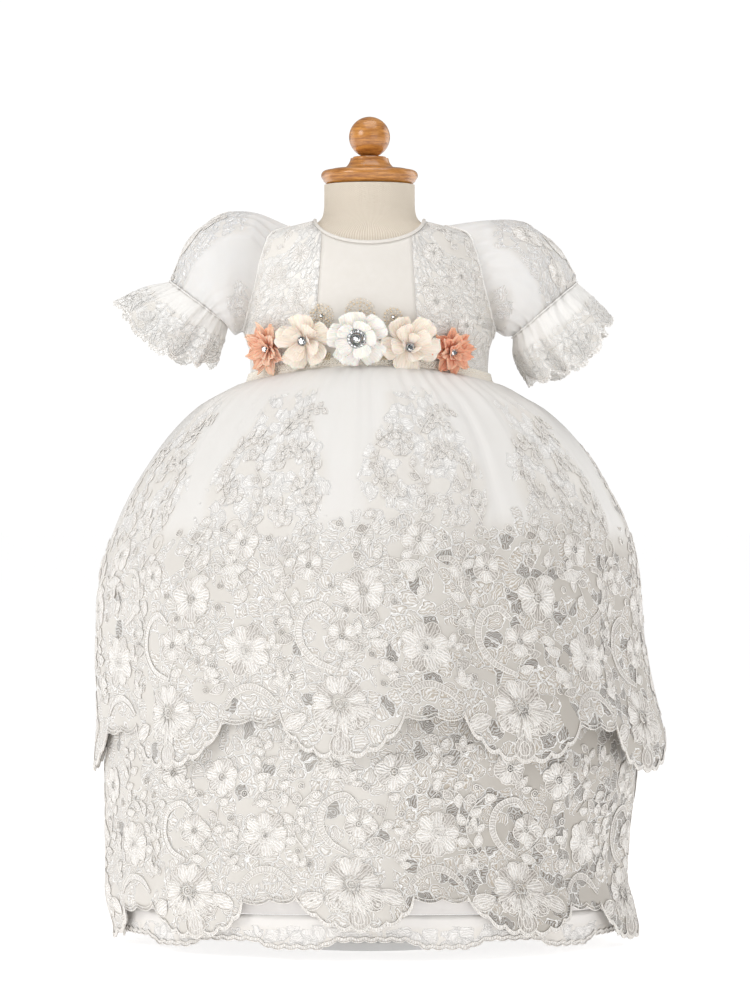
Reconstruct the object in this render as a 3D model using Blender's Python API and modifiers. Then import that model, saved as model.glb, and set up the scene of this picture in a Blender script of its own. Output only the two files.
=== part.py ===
"""A child's christening gown on a dress form, in metres, +Z up, with its front facing -Y.

The origin is the centre of the underside of the stand's base. The dress form's outline is a table of level
sections, and every cloth wall of the bodice is that outline moved out. The skirt layers are nested domes from
one more table each. Left and right are a viewer's, facing the front.
"""

import math

import bmesh
import bpy
import numpy as np
from mathutils import Matrix, Vector

# ---- driving sizes -------------------------------------------------------------------------------------------

SEAM_GAP = 0.0003  # between two sewn pieces
BODICE_WALL = 0.0012  # satin, lining and lace together
SKIRT_WALL = 0.0011  # net and lace
PETTICOAT_WALL = 0.0012
SLEEVE_WALL = 0.0010
FORM_CLEARANCE = 0.0017  # from the dress form to the bodice's inside
SHOULDER_EASE = 0.0008  # added to it at the shoulders

WAIST_SIDE = 0.4450  # height of the waist seam at the side seams
WAIST_FRONT_RISE = 0.0124  # how much higher the seam runs at centre front
WAIST_BACK_RISE = 0.0040

NECK_SIDE = 0.0450  # half the width of the neck opening
NECK_SIDE_HEIGHT = 0.5740
NECK_FRONT_HEIGHT = 0.5520
NECK_BACK_HEIGHT = 0.5620
NECK_BINDING_RADIUS = 0.0014

PANEL_LEFT = -0.0450  # the two princess seams beside the plain centre front, where they meet the waist
PANEL_RIGHT = 0.0400
PANEL_TAPER = 0.84  # how far out the seams are at the neckline, as a share of that at the waist

ARMHOLE_BOTTOM = 0.4874
ARMHOLE_TOP = 0.5626
ARMHOLE_HALF_DEPTH = 0.0240
ARMHOLE_STEPS = 6  # points down one side of an armhole, less one

LACE_REPEATS = 9  # scallop repeats round each skirt hem

BASE_RADIUS = 0.0850
BASE_THICKNESS = 0.0080
POLE_RADIUS = 0.0100
FORM_BOTTOM = 0.3600
NECK_TOP = 0.6034
BALL_RADIUS = 0.0164
FORM_COLUMNS = 28


def table(columns, *rows):
    """A short table as one array for each named column."""
    return {name: np.array([row[i] for row in rows]) for i, name in enumerate(columns.split())}


# The outside of the bodice and, below the waist and above the collar, of the form: level ellipses.
BODY = table(
    "height half_width half_depth",
    (0.3600, 0.0700, 0.0540),
    (0.3640, 0.0840, 0.0640),
    (0.3750, 0.0940, 0.0720),
    (0.3950, 0.0985, 0.0755),
    (0.4200, 0.0975, 0.0745),
    (0.4400, 0.0955, 0.0712),
    (0.4520, 0.0945, 0.0695),
    (0.4700, 0.0955, 0.0702),
    (0.4874, 0.1000, 0.0725),
    (0.5050, 0.0995, 0.0740),
    (0.5250, 0.0965, 0.0735),
    (0.5400, 0.0930, 0.0710),
    (0.5520, 0.0880, 0.0665),
    (0.5626, 0.0810, 0.0605),
    (0.5690, 0.0640, 0.0545),
    (0.5740, 0.0450, 0.0490),
    (0.5800, 0.0400, 0.0440),
    (0.5880, 0.0391, 0.0405),
    (0.6034, 0.0391, 0.0391),
)

# Each skirt layer by its height at the side seams; depth is the share of the width, and shift moves it along X.
UPPER_TIER = table(
    "height half_width depth shift",
    (0.1350, 0.2270, 0.840, 0.0085),
    (0.1650, 0.2252, 0.840, 0.0085),
    (0.1938, 0.2216, 0.840, 0.0050),
    (0.2322, 0.2188, 0.838, 0.0010),
    (0.2898, 0.2160, 0.830, -0.0005),
    (0.3282, 0.2062, 0.820, 0.0015),
    (0.3570, 0.1924, 0.810, 0.0010),
    (0.3858, 0.1740, 0.800, 0.0015),
    (0.4050, 0.1584, 0.790, 0.0010),
    (0.4242, 0.1376, 0.775, 0.0000),
    (0.4338, 0.1224, 0.760, -0.0010),
    (0.4405, 0.1108, 0.748, 0.0000),
    (0.4438, 0.1030, 0.742, 0.0000),
    (0.4450, 0.0960, 0.736, 0.0000),
)
LOWER_TIER = table(
    "height half_width depth shift",
    (-0.020, 0.2100, 0.835, 0.0050),
    (0.0110, 0.2098, 0.835, 0.0050),
    (0.0310, 0.2105, 0.835, 0.0005),
    (0.0500, 0.2090, 0.835, -0.0025),
    (0.0880, 0.2100, 0.835, -0.0018),
    (0.1360, 0.2130, 0.835, 0.0010),
    (0.2150, 0.2073, 0.8355, 0.0005),
)
PETTICOAT = table(
    "height half_width depth shift",
    (-0.020, 0.1970, 0.835, 0.0020),
    (0.1000, 0.1985, 0.835, 0.0000),
    (0.1600, 0.2015, 0.835, 0.0005),
    (0.2150, 0.2050, 0.835, 0.0005),
    (0.2898, 0.2060, 0.828, 0.0005),
    (0.3282, 0.1962, 0.818, 0.0010),
    (0.3570, 0.1830, 0.808, 0.0010),
    (0.3858, 0.1650, 0.798, 0.0010),
    (0.4050, 0.1500, 0.788, 0.0005),
    (0.4242, 0.1295, 0.773, 0.0000),
    (0.4338, 0.1145, 0.758, 0.0000),
    (0.4400, 0.1030, 0.748, 0.0000),
    (0.4436, 0.0948, 0.738, 0.0000),
)
# How much higher than at the sides each layer hangs at centre front, over the child's tummy.
FRONT_LIFT = table(
    "height lift",
    (-0.020, 0.0200),
    (0.1400, 0.0210),
    (0.3000, 0.0170),
    (0.4500, 0.0124),
)
# The largest soft folds of the skirt: where each runs, how wide it is, and how far it stands out at the hem.
FOLDS = table(
    "angle spread ridge",
    (-174, 9, 0.0040),
    (-151, 8, -0.0036),
    (-133, 7, 0.0042),
    (-112, 9, -0.0034),
    (-88, 10, 0.0036),
    (-66, 7, -0.0040),
    (-48, 8, 0.0038),
    (-27, 7, -0.0044),
    (-6, 8, 0.0048),
    (17, 8, -0.0032),
    (38, 9, 0.0040),
    (62, 8, -0.0036),
    (84, 9, 0.0034),
    (107, 8, -0.0038),
    (128, 9, 0.0040),
    (152, 8, -0.0034),
)

# Each sleeve section runs from a top point to a bottom point, out from the centre and up, and is an ellipse.
PUFF = {
    -1: table(
        "top_out top_height bottom_out bottom_height half_depth gather",
        (0.0925, 0.5812, 0.1035, 0.4860, 0.0360, 0.7),
        (0.1190, 0.5795, 0.1075, 0.4838, 0.0430, 0.4),
        (0.1436, 0.5600, 0.1105, 0.4862, 0.0410, 0.4),
        (0.1552, 0.5350, 0.1135, 0.4902, 0.0320, 1.0),
        (0.1572, 0.5250, 0.1156, 0.4938, 0.0262, 1.3),
    ),
    1: table(
        "top_out top_height bottom_out bottom_height half_depth gather",
        (0.0945, 0.5742, 0.1035, 0.4850, 0.0360, 0.7),
        (0.1222, 0.5732, 0.1075, 0.4826, 0.0430, 0.4),
        (0.1478, 0.5555, 0.1108, 0.4822, 0.0410, 0.4),
        (0.1618, 0.5330, 0.1142, 0.4830, 0.0330, 1.0),
        (0.1628, 0.5234, 0.1164, 0.4834, 0.0285, 1.3),
    ),
}
# The frill's belly is how far its front and back hang below the line from top to bottom.
FRILL = {
    -1: table(
        "top_out top_height bottom_out bottom_height half_depth belly",
        (0.1780, 0.5196, 0.1185, 0.4795, 0.0350, 0.006),
        (0.1975, 0.5085, 0.1265, 0.4620, 0.0450, 0.014),
    ),
    1: table(
        "top_out top_height bottom_out bottom_height half_depth belly",
        (0.1775, 0.5110, 0.1175, 0.4660, 0.0365, 0.006),
        (0.1905, 0.4920, 0.1310, 0.4470, 0.0450, 0.014),
    ),
}

# The flowers sewn along the waist, from left to right. The petals' rounds are wide and tall, stand off the
# bodice by lift, are moved up from the gem by above, and cut in between the petals by the share notch.
FLOWERS = table(
    "name x height wide tall above petals lift cup notch gem",
    ("coral_left", -0.0820, 0.4713, 0.0205, 0.0195, 0.0000, 7, 0.0026, 0.0030, 0.55, "single"),
    ("blush_left", -0.0506, 0.4778, 0.0228, 0.0218, -0.0008, 6, 0.0056, 0.0030, 0.25, "single"),
    ("ivory_centre", -0.0090, 0.4779, 0.0226, 0.0212, 0.0002, 6, 0.0090, 0.0030, 0.20, "cluster"),
    ("blush_right", 0.0309, 0.4717, 0.0232, 0.0204, 0.0060, 6, 0.0056, 0.0030, 0.25, "single"),
    ("coral_right", 0.0640, 0.4677, 0.0200, 0.0162, 0.0006, 7, 0.0026, 0.0030, 0.55, "single"),
)
PETAL_THICKNESS = 0.0012
HUB_RADIUS = 0.0050
PETAL_STEPS = 4
PETAL_ROUND = (0.0, 0.72, 1.0, 0.78)  # how far out each step round a petal is, from one notch to the next
PETAL_RIDGE = 0.0009
PETAL_TURN = 0.35
GEM_RADIUS = 0.0038
CLUSTER_RADIUS = 0.0074

# Round beaded motifs on the centre front, half behind the flowers.
BEAD_FANS = table(
    "name x height radius",
    ("left", -0.0372, 0.4955, 0.0092),
    ("centre", -0.0074, 0.4975, 0.0115),
    ("right", 0.0184, 0.4945, 0.0070),
)
FAN_THICKNESS = 0.0014

BUTTON_HEIGHTS = (0.4680, 0.4930, 0.5180, 0.5430)
BUTTON_RADIUS = 0.0055
BUTTON_THICKNESS = 0.0030
BUTTON_X = 0.0085

# ---- materials -----------------------------------------------------------------------------------------------


def material(name, colour, roughness, metallic=0.0):
    made = bpy.data.materials.new(name)
    made.use_nodes = True
    shader = made.node_tree.nodes["Principled BSDF"]
    shader.inputs["Base Color"].default_value = (*colour, 1.0)
    shader.inputs["Roughness"].default_value = roughness
    shader.inputs["Metallic"].default_value = metallic
    made.diffuse_color = (*colour, 1.0)
    return made


# ---- numbers from the tables ---------------------------------------------------------------------------------


def smooth(rows, column, at, along="height"):
    """A table's column at any place along it, as a smooth curve that never overshoots its rows."""
    x, y = rows[along], rows[column]
    step = np.diff(x)
    slope = np.diff(y) / step
    product = slope[:-1] * slope[1:]
    total = np.where(product > 0, slope[:-1] + slope[1:], 1.0)
    tangent = np.concatenate([slope[:1], np.where(product > 0, 2 * product / total, 0.0), slope[-1:]])
    at = np.clip(at, x[0], x[-1])
    i = np.clip(np.searchsorted(x, at) - 1, 0, len(step) - 1)
    t = (at - x[i]) / step[i]
    rise = y[i] * (1 + 2 * t) * (1 - t) ** 2 + y[i + 1] * (3 - 2 * t) * t**2
    return rise + step[i] * (tangent[i] * t * (1 - t) ** 2 - tangent[i + 1] * (1 - t) * t**2)


def eased(share):
    """0 to 1 with a level start and end."""
    share = np.clip(share, 0.0, 1.0)
    return share * share * (3 - 2 * share)


def body_point(angle, height):
    return Vector(
        (
            smooth(BODY, "half_width", height) * math.cos(angle),
            smooth(BODY, "half_depth", height) * math.sin(angle),
            height,
        )
    )


def body_normal(angle, height):
    step = 0.0004
    round_it = body_point(angle + 0.01, height) - body_point(angle - 0.01, height)
    up_it = body_point(angle, height + step) - body_point(angle, height - step)
    return round_it.cross(up_it).normalized()


def body_angle(x, height, side):
    """The section angle where the body has this x; side is -1 on the front and 1 on the back."""
    return side * math.acos(max(-1.0, min(1.0, x / smooth(BODY, "half_width", height))))


def waist_height(angle):
    rise = WAIST_FRONT_RISE if math.sin(angle) < 0 else WAIST_BACK_RISE
    return WAIST_SIDE + rise * math.sin(angle) ** 2


def neck_height(x, side):
    """The neckline's height, a quarter ellipse from the centre to the shoulder."""
    centre = NECK_FRONT_HEIGHT if side < 0 else NECK_BACK_HEIGHT
    across = min(1.0, abs(x) / NECK_SIDE)
    return centre + (NECK_SIDE_HEIGHT - centre) * (1 - math.sqrt(1 - across**2))


# ---- meshes --------------------------------------------------------------------------------------------------


def finish(name, mesh, surface):
    mesh.materials.append(surface)
    mesh.shade_smooth()
    mesh.set_sharp_from_angle(angle=math.radians(50))
    piece = bpy.data.objects.new(name, mesh)
    gown.objects.link(piece)
    return piece


def closed_body(name, shape, surface):
    """A closed mesh with its faces pointing out."""
    bmesh.ops.recalc_face_normals(shape, faces=shape.faces[:])
    if shape.calc_volume(signed=True) < 0:
        bmesh.ops.reverse_faces(shape, faces=shape.faces[:])
    mesh = bpy.data.meshes.new(name)
    shape.to_mesh(mesh)
    shape.free()
    return finish(name, mesh, surface)


def facing_out(grid, inside, closed):
    """Unit normals of a grid of points, pointing away from `inside`."""
    if closed:
        across = np.roll(grid, -1, axis=1) - np.roll(grid, 1, axis=1)
    else:
        across = np.gradient(grid, axis=1)
    normals = np.cross(np.gradient(grid, axis=0), across)
    normals /= np.linalg.norm(normals, axis=2, keepdims=True)
    away = grid - np.array([[inside(Vector(point)) for point in row] for row in grid])
    return normals if np.sum(normals * away) > 0 else -normals


def wall_between(name, outer, inner, surface, closed=False):
    """A wall from an outer and an inner grid of points, closed round its edges."""
    rows, columns = len(outer), len(outer[0])
    shape = bmesh.new()
    sides = [[[shape.verts.new(point) for point in row] for row in grid] for grid in (outer, inner)]

    def strip(first, second):
        """Two triangles between each pair of neighbours on two lines of vertices."""
        for (a, b), (c, d) in zip(zip(first, first[1:]), zip(second, second[1:])):
            shape.faces.new((a, c, d))
            shape.faces.new((a, d, b))

    for points in sides:
        for upper, lower in zip(points, points[1:]):
            strip(upper + upper[:1] * closed, lower + lower[:1] * closed)
    front, back = sides
    for row in (0, rows - 1):
        strip(front[row] + front[row][:1] * closed, back[row] + back[row][:1] * closed)
    if not closed:
        for column in (0, columns - 1):
            strip([row[column] for row in front], [row[column] for row in back])
    return closed_body(name, shape, surface)


def cloth(name, grid, wall, surface, inside, closed=False):
    """A wall whose outer side is a grid of points and whose inner side is the grid moved in."""
    outer = np.array(grid)
    inner = outer - facing_out(outer, inside, closed) * wall
    return wall_between(name, outer, inner, surface, closed)


def loft(name, rings, surface):
    """A closed skin over rings of equal length, capped flat at both ends."""
    shape = bmesh.new()
    points = [[shape.verts.new(point) for point in ring] for ring in rings]
    count = len(rings[0])
    for lower, upper in zip(points, points[1:]):
        for c in range(count):
            d = (c + 1) % count
            shape.faces.new((lower[c], lower[d], upper[d], upper[c]))
    shape.faces.new(points[0])
    shape.faces.new(points[-1])
    return closed_body(name, shape, surface)


def turned(name, profile, surface, segments, place=None):
    """A profile of (radius, height) points, top to bottom, spun round its own Z axis."""
    mesh = bpy.data.meshes.new(name)
    edges = [(i, i + 1) for i in range(len(profile) - 1)]
    mesh.from_pydata([(radius, 0.0, height) for radius, height in profile], edges, [])
    piece = finish(name, mesh, surface)
    spin = piece.modifiers.new("spin", "SCREW")
    spin.steps = spin.render_steps = segments
    spin.use_merge_vertices = True
    spin.merge_threshold = 0.00001
    if place:
        piece.matrix_world = place
    return piece


def arc(centre, radius, start, end, steps):
    """Points of a round stretch of a profile, from one angle to another, in degrees."""
    return [
        (
            centre[0] + radius * math.cos(math.radians(start + (end - start) * i / steps)),
            centre[1] + radius * math.sin(math.radians(start + (end - start) * i / steps)),
        )
        for i in range(steps + 1)
    ]


# ---- bodice --------------------------------------------------------------------------------------------------


def armhole_point(side, turn, out=0.0):
    """A point of the armhole, from its top at turn 0 round by the front to its bottom and on."""
    middle = (ARMHOLE_TOP + ARMHOLE_BOTTOM) / 2
    height = middle + (ARMHOLE_TOP - middle) * math.cos(turn)
    y = -ARMHOLE_HALF_DEPTH * math.sin(turn)
    angle = math.asin(y / smooth(BODY, "half_depth", height))
    point = body_point(angle, height) + body_normal(angle, height) * out
    return Vector((side * point.x, point.y, point.z))


def outer_edge(side_y):
    """Section angles and heights up a panel's outer edge: side seam, armhole, shoulder seam."""
    middle = (ARMHOLE_TOP + ARMHOLE_BOTTOM) / 2
    turns = [math.pi * (1 - i / ARMHOLE_STEPS) for i in range(ARMHOLE_STEPS + 1)]
    lower = np.linspace(WAIST_SIDE + SEAM_GAP, ARMHOLE_BOTTOM, 4)[:-1]
    upper = np.linspace(ARMHOLE_TOP, NECK_SIDE_HEIGHT, 4)[1:]
    heights = [*lower, *(middle + (ARMHOLE_TOP - middle) * math.cos(turn) for turn in turns), *upper]
    depths = [ARMHOLE_HALF_DEPTH * math.sin(turn) for turn in turns]
    depths = [0.0] * len(lower) + depths + [0.0] * len(upper)
    return [
        (side_y * math.asin(max(SEAM_GAP / 2, depth) / smooth(BODY, "half_depth", height)), height)
        for depth, height in zip(depths, heights)
    ]


def seam_edge(x, gap, side_y, shares):
    """Section angles and heights up a seam that tapers from its x at the waist, at shares of its length."""
    bottom = waist_height(body_angle(x, WAIST_SIDE, side_y)) + SEAM_GAP
    top = neck_height(PANEL_TAPER * x + gap, side_y)
    edge = []
    for share in shares:
        height = bottom + (top - bottom) * share
        edge.append((body_angle(x * (1 - (1 - PANEL_TAPER) * share) + gap, height, side_y), height))
    return edge


def patch(left, right, bottom, top):
    """Rows of (angle, height) pairs between four edges, each of them a list of such pairs."""
    left, right, bottom, top = (np.array(edge) for edge in (left, right, bottom, top))
    climb_left = (left[:, 1] - left[0, 1]) / (left[-1, 1] - left[0, 1])
    climb_right = (right[:, 1] - right[0, 1]) / (right[-1, 1] - right[0, 1])
    across = np.linspace(0, 1, len(bottom))[:, None]
    straight_bottom = (1 - across) * bottom[0] + across * bottom[-1]
    straight_top = (1 - across) * top[0] + across * top[-1]
    grid = []
    for j in range(len(left)):
        climb = (1 - across) * climb_left[j] + across * climb_right[j]
        line = (1 - across) * left[j] + across * right[j]
        # the neckline's crowded angles are felt only near it, its heights all the way down
        share = np.hstack([climb**4, climb])
        grid.append(line + (1 - climb) * (bottom - straight_bottom) + share * (top - straight_top))
    return grid


def bodice_panel(name, left, right, surface, side_y, columns, neck_from, neck_to, mirror=1):
    """A bodice piece between two upright edges, from the waist seam to the neckline."""
    ends = (left[0][0], right[0][0])
    bottom = [(angle, waist_height(angle) + SEAM_GAP) for angle in np.linspace(ends[0], ends[1], columns + 1)]
    swing = np.linspace(math.asin(neck_from / NECK_SIDE), math.asin(neck_to / NECK_SIDE), columns + 1)
    top = []
    for turn in swing:
        x = NECK_SIDE * math.sin(turn)
        height = neck_height(x, side_y)
        top.append((body_angle(x, height, side_y), height))
    top[0], top[-1] = left[-1], right[-1]
    pairs = patch(left, right, bottom, top)
    turn_over = np.array((mirror, 1, 1))
    outer = np.array([[body_point(*pair) for pair in row] for row in pairs])
    inner = outer - BODICE_WALL * np.array([[body_normal(*pair) for pair in row] for row in pairs])
    return wall_between(name, outer * turn_over, inner * turn_over, surface)


def bodice():
    half_gap = SEAM_GAP / 2
    shares = np.linspace(0, 1, 8)
    bodice_panel(
        "bodice_front_centre",
        seam_edge(PANEL_LEFT, half_gap, -1, shares),
        seam_edge(PANEL_RIGHT, -half_gap, -1, shares),
        satin,
        -1,
        8,
        PANEL_TAPER * PANEL_LEFT + half_gap,
        PANEL_TAPER * PANEL_RIGHT - half_gap,
    )
    for side, where, seam_x in ((-1, "left", -PANEL_LEFT), (1, "right", PANEL_RIGHT)):
        outer = outer_edge(-1)
        shares = [(height - outer[0][1]) / (outer[-1][1] - outer[0][1]) for _, height in outer]
        bodice_panel(
            f"bodice_front_{where}",
            seam_edge(seam_x, half_gap, -1, shares),
            outer,
            lace,
            -1,
            7,
            PANEL_TAPER * seam_x + half_gap,
            NECK_SIDE,
            mirror=side,
        )
        outer = outer_edge(1)
        bodice_panel(
            f"bodice_back_{where}",
            seam_edge(0.0, half_gap, 1, shares),
            outer,
            lace,
            1,
            8,
            half_gap,
            NECK_SIDE,
            mirror=side,
        )


def neck_binding():
    """A bound edge that follows the neckline, just above the panels' raw edges."""
    rise = NECK_BINDING_RADIUS + SEAM_GAP
    swings = np.linspace(-math.pi / 2, math.pi / 2, 15)
    points = []
    for side_y, order in ((-1, swings), (1, swings[::-1])):
        for turn in order[:-1]:
            x = NECK_SIDE * math.sin(turn)
            height = neck_height(x, side_y)
            angle = body_angle(x, height, side_y)
            upward = (body_point(angle, height + 0.001) - body_point(angle, height)).normalized()
            points.append(body_point(angle, height) + upward * rise + body_normal(angle, height) * 0.0002)
    curve = bpy.data.curves.new("neck_binding", "CURVE")
    curve.dimensions = "3D"
    curve.bevel_depth = NECK_BINDING_RADIUS
    curve.bevel_resolution = 0
    line = curve.splines.new("POLY")
    line.points.add(len(points) - 1)
    for spot, point in zip(line.points, points):
        spot.co = (*point, 1.0)
    line.use_cyclic_u = True
    curve.materials.append(satin)
    gown.objects.link(bpy.data.objects.new("neck_binding", curve))


def back_buttons():
    for number, height in enumerate(BUTTON_HEIGHTS, 1):
        angle = body_angle(BUTTON_X, height, 1)
        place = seat_matrix(angle, height, SEAM_GAP)
        dome = [(0.0, BUTTON_THICKNESS), (0.6 * BUTTON_RADIUS, 0.85 * BUTTON_THICKNESS)]
        edge = [(BUTTON_RADIUS, 0.4 * BUTTON_THICKNESS), (0.8 * BUTTON_RADIUS, 0.0), (0.0, 0.0)]
        turned(f"back_button_{number}", dome + edge, satin, 10, place)


def seat_matrix(angle, height, lift):
    """A frame on the bodice whose Z axis stands off the cloth and whose Y axis points up."""
    out = body_normal(angle, height)
    across = Vector((0, 0, 1)).cross(out).normalized()
    up = out.cross(across)
    turn = Matrix((across, up, out)).transposed().to_4x4()
    return Matrix.Translation(body_point(angle, height) + out * lift) @ turn


# ---- sleeves -------------------------------------------------------------------------------------------------

SLEEVE_COLUMNS = 4 * ARMHOLE_STEPS
SLEEVE_GATHER = 0.0013
SLEEVE_SEAM_GAP = 0.0005
FRILL_COLUMNS = 2 * SLEEVE_COLUMNS
FRILL_WAVES = 8
FRILL_WAVE_HEIGHT = 0.0050
FRILL_LOBE_DEPTH = 0.0030


def sleeve_ring(side, row, swells, drops):
    """One section of a sleeve or its frill from a row of its table, with each point moved out and onward."""
    top = Vector((row["top_out"], 0.0, row["top_height"]))
    bottom = Vector((row["bottom_out"], 0.0, row["bottom_height"]))
    centre, half = (top + bottom) / 2, (top - bottom) / 2
    onward = Vector((half.z, 0.0, -half.x)).normalized()
    ring = []
    for c, (swell, drop) in enumerate(zip(swells, drops)):
        turn = math.tau * c / len(swells)
        reach = 1.0 + swell / half.length
        point = centre + half * math.cos(turn) * reach
        point += Vector((0.0, -row["half_depth"] * math.sin(turn) * reach, 0.0))
        point += onward * (row.get("belly", 0.0) * math.sin(turn) ** 2 + drop)
        ring.append(Vector((side * point.x, point.y, point.z)))
    return ring


def table_rows(rows):
    for i in range(len(next(iter(rows.values())))):
        yield {name: float(column[i]) for name, column in rows.items()}


def between(ring):
    """A ring with a point added in the middle of each side."""
    return [point for a, b in zip(ring, ring[1:] + ring[:1]) for point in (a, (a + b) / 2)]


def along_line(start, end):
    """The nearest point of a line to any point, which says which way is inside a sleeve."""
    course = end - start
    along = course / course.length_squared
    return lambda point: start + course * min(1.0, max(0.0, (point - start).dot(along)))


def sleeves():
    for side, where in ((-1, "left"), (1, "right")):
        turns = [math.tau * i / (2 * ARMHOLE_STEPS) for i in range(2 * ARMHOLE_STEPS)]
        grid = [between([armhole_point(side, turn, SLEEVE_SEAM_GAP) for turn in turns])]
        for row in table_rows(PUFF[side]):
            tucks = [SLEEVE_GATHER * row["gather"] * (1 if c % 2 else -1) for c in range(SLEEVE_COLUMNS)]
            grid.append(sleeve_ring(side, row, tucks, [0.0] * SLEEVE_COLUMNS))
        cuff = grid[-1]
        middle = sum(cuff, Vector()) / len(cuff)
        shoulder = Vector((side * 0.090, 0.0, 0.530))
        heart = Vector((middle.x, 0.0, 0.525))
        cloth(f"sleeve_{where}", grid, SLEEVE_WALL, organza, along_line(shoulder, heart), closed=True)

        onward = (cuff[0] - middle).cross(cuff[SLEEVE_COLUMNS // 4] - middle).normalized()
        onward *= math.copysign(SLEEVE_SEAM_GAP, onward.z * -1)
        grid = [[point + onward for point in between(cuff)]]
        for share, row in zip((0.5, 1.0), table_rows(FRILL[side])):
            turns = [math.tau * c / FRILL_COLUMNS for c in range(FRILL_COLUMNS)]
            waves = [FRILL_WAVE_HEIGHT * share * math.sin(FRILL_WAVES * turn + 0.6) for turn in turns]
            lobe = FRILL_LOBE_DEPTH if share == 1.0 else 0.0
            lobes = [lobe if c % 2 else -lobe for c in range(FRILL_COLUMNS)]
            grid.append(sleeve_ring(side, row, waves, lobes))
        mouth = sum(grid[-1], Vector()) / FRILL_COLUMNS
        cloth(f"sleeve_frill_{where}", grid, SLEEVE_WALL, lace, along_line(middle, mouth), closed=True)


# ---- skirt layers --------------------------------------------------------------------------------------------


def skirt_point(layer, angle, height, out=0.0):
    """A point of a skirt layer at its side-seam height, lifted at the front and moved out by `out`."""
    half_width = smooth(layer, "half_width", height) + out
    half_depth = smooth(layer, "half_width", height) * smooth(layer, "depth", height) + out
    lift = smooth(FRONT_LIFT, "lift", height) if math.sin(angle) < 0 else WAIST_BACK_RISE
    return Vector(
        (
            half_width * math.cos(angle) + smooth(layer, "shift", height),
            half_depth * math.sin(angle),
            height + lift * math.sin(angle) ** 2,
        )
    )


def fold_height(angle, share):
    """How far the soft folds stand out at a share of the way down: nothing at the top, most at the hem."""
    away = (math.degrees(angle) - FOLDS["angle"] + 180) % 360 - 180
    total = float(np.sum(FOLDS["ridge"] * np.exp(-((away / FOLDS["spread"]) ** 2))))
    return total * float(eased(share))


def hem_angles(layer, height, fractions):
    """Section angles at shares of the distance round a layer, from its right side by the back."""
    fine = np.linspace(0, math.tau, 721)
    x = smooth(layer, "half_width", height) * np.cos(fine)
    y = smooth(layer, "half_width", height) * smooth(layer, "depth", height) * np.sin(fine)
    run = np.concatenate([[0], np.cumsum(np.hypot(np.diff(x), np.diff(y)))])
    whole = np.floor(fractions)
    return np.interp(fractions - whole, run / run[-1], fine) + whole * math.tau


def scallop_rise(share, big, depth, lobe, swag):
    """The hem's height above its lowest points, by the share of one repeat.

    A repeat is one deep scallop, which takes the share `big` and has small lobes, and then two shallow arcs.
    """
    if share <= big:
        across = 2 * share / big - 1
        return depth * across**2 * (0.55 + 0.45 * across**2) + lobe
    return depth - swag + lobe


def hem_columns(repeats, scallop_steps, swag_steps, big, phase):
    """Shares of the way round for each column, with the share of its repeat and whether it is a lobe's tip."""
    columns = []
    for repeat in range(repeats):
        for i in range(scallop_steps):
            columns.append(((repeat + phase) / repeats, big * i / scallop_steps, i % 2 == 1))
        for i in range(swag_steps):
            share = big + (1 - big) * i / swag_steps
            columns.append(((repeat + phase) / repeats, share, i % 2 == 1))
    return [(start + share / repeats, share, tip) for start, share, tip in columns]


def side_seams(turns):
    """The columns of the front and of the back half, which both hold the columns at the two side seams."""
    count = len(turns)
    right = min(range(count), key=lambda i: abs((turns[i] + 0.5) % 1 - 0.5))
    left = min(range(count), key=lambda i: abs(turns[i] % 1 - 0.5))
    back = [(right + i) % count for i in range((left - right) % count + 1)]
    front = [(left + i) % count for i in range((right - left) % count + 1)]
    return {"front": front, "back": back}


def part_at_seams(grid):
    """The outermost columns drawn back along the cloth by half of a seam's gap."""
    for edge, neighbour in ((0, 1), (-1, -2)):
        along = grid[:, neighbour] - grid[:, edge]
        along /= np.linalg.norm(along, axis=1, keepdims=True)
        grid[:, edge] += along * SEAM_GAP / 2
    return grid


def skirt_layer(name, layer, columns, rows, top, hem, wall, surface, tuck=0.0, folds=1.0):
    """A tier of the skirt as two halves with side seams, gathered at the top and shaped at the hem.

    rows are shares of the way down; top and hem give side-seam heights by angle, and hem by column too; tuck is
    half the depth of the gathers at the top, and folds the share of the soft folds.
    """
    low = min(hem(0.0, column) for column in columns)
    turns = [column[0] for column in columns]
    angles = hem_angles(layer, low + 0.02, np.array(turns))
    ring = []
    for share in rows:
        line = []
        for i, (angle, column) in enumerate(zip(angles, columns)):
            start, end = top(angle), hem(angle, column)
            height = start + (end - start) * share
            near_top = math.exp(-(start - height) / GATHER_RUN)
            swell = tuck * (1 if i % 2 else -1) * near_top
            swell += folds * fold_height(angle, (start - height) / (start - low))
            line.append(skirt_point(layer, angle, height, swell))
        ring.append(line)
    outer = np.array(ring)
    inner = outer - wall * facing_out(outer, lambda p: Vector((0.0, 0.0, min(p.z, 0.30) - 0.03)), True)
    for half, picked in side_seams(turns).items():
        sides = part_at_seams(outer[:, picked]), part_at_seams(inner[:, picked])
        wall_between(f"{name}_{half}", *sides, surface)


SCALLOP_SHARE = 0.68  # of a repeat that the deep scallop takes
UPPER_PHASE = 0.202  # turns the repeats so that one scallop hangs just left of centre front
LOWER_PHASE = 0.322
EDGING_SCALLOPS = 20
EDGING_DEPTH = 0.0060
EDGING_HEIGHT = 0.0270
UPPER_HEM = 0.1370
LOWER_HEM = 0.0052
LOWER_TOP = 0.2150
SWAG_DEPTH = 0.0010
GATHER_RUN = 0.0200  # how far below a gathered edge the gathers fade
PETTICOAT_COLUMNS = 40
PETTICOAT_TOP = 0.4436  # under the upper tier's seam allowance
PETTICOAT_HEM = 0.0040
PETTICOAT_DROP = 0.0150


def scalloped_hem(lowest, depth, lobe):
    """Heights of a lace hem by column: lobes go down at their tips and up between them."""
    return lambda angle, column: lowest + scallop_rise(
        column[1], SCALLOP_SHARE, depth, -lobe if column[2] else lobe, SWAG_DEPTH
    )


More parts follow.
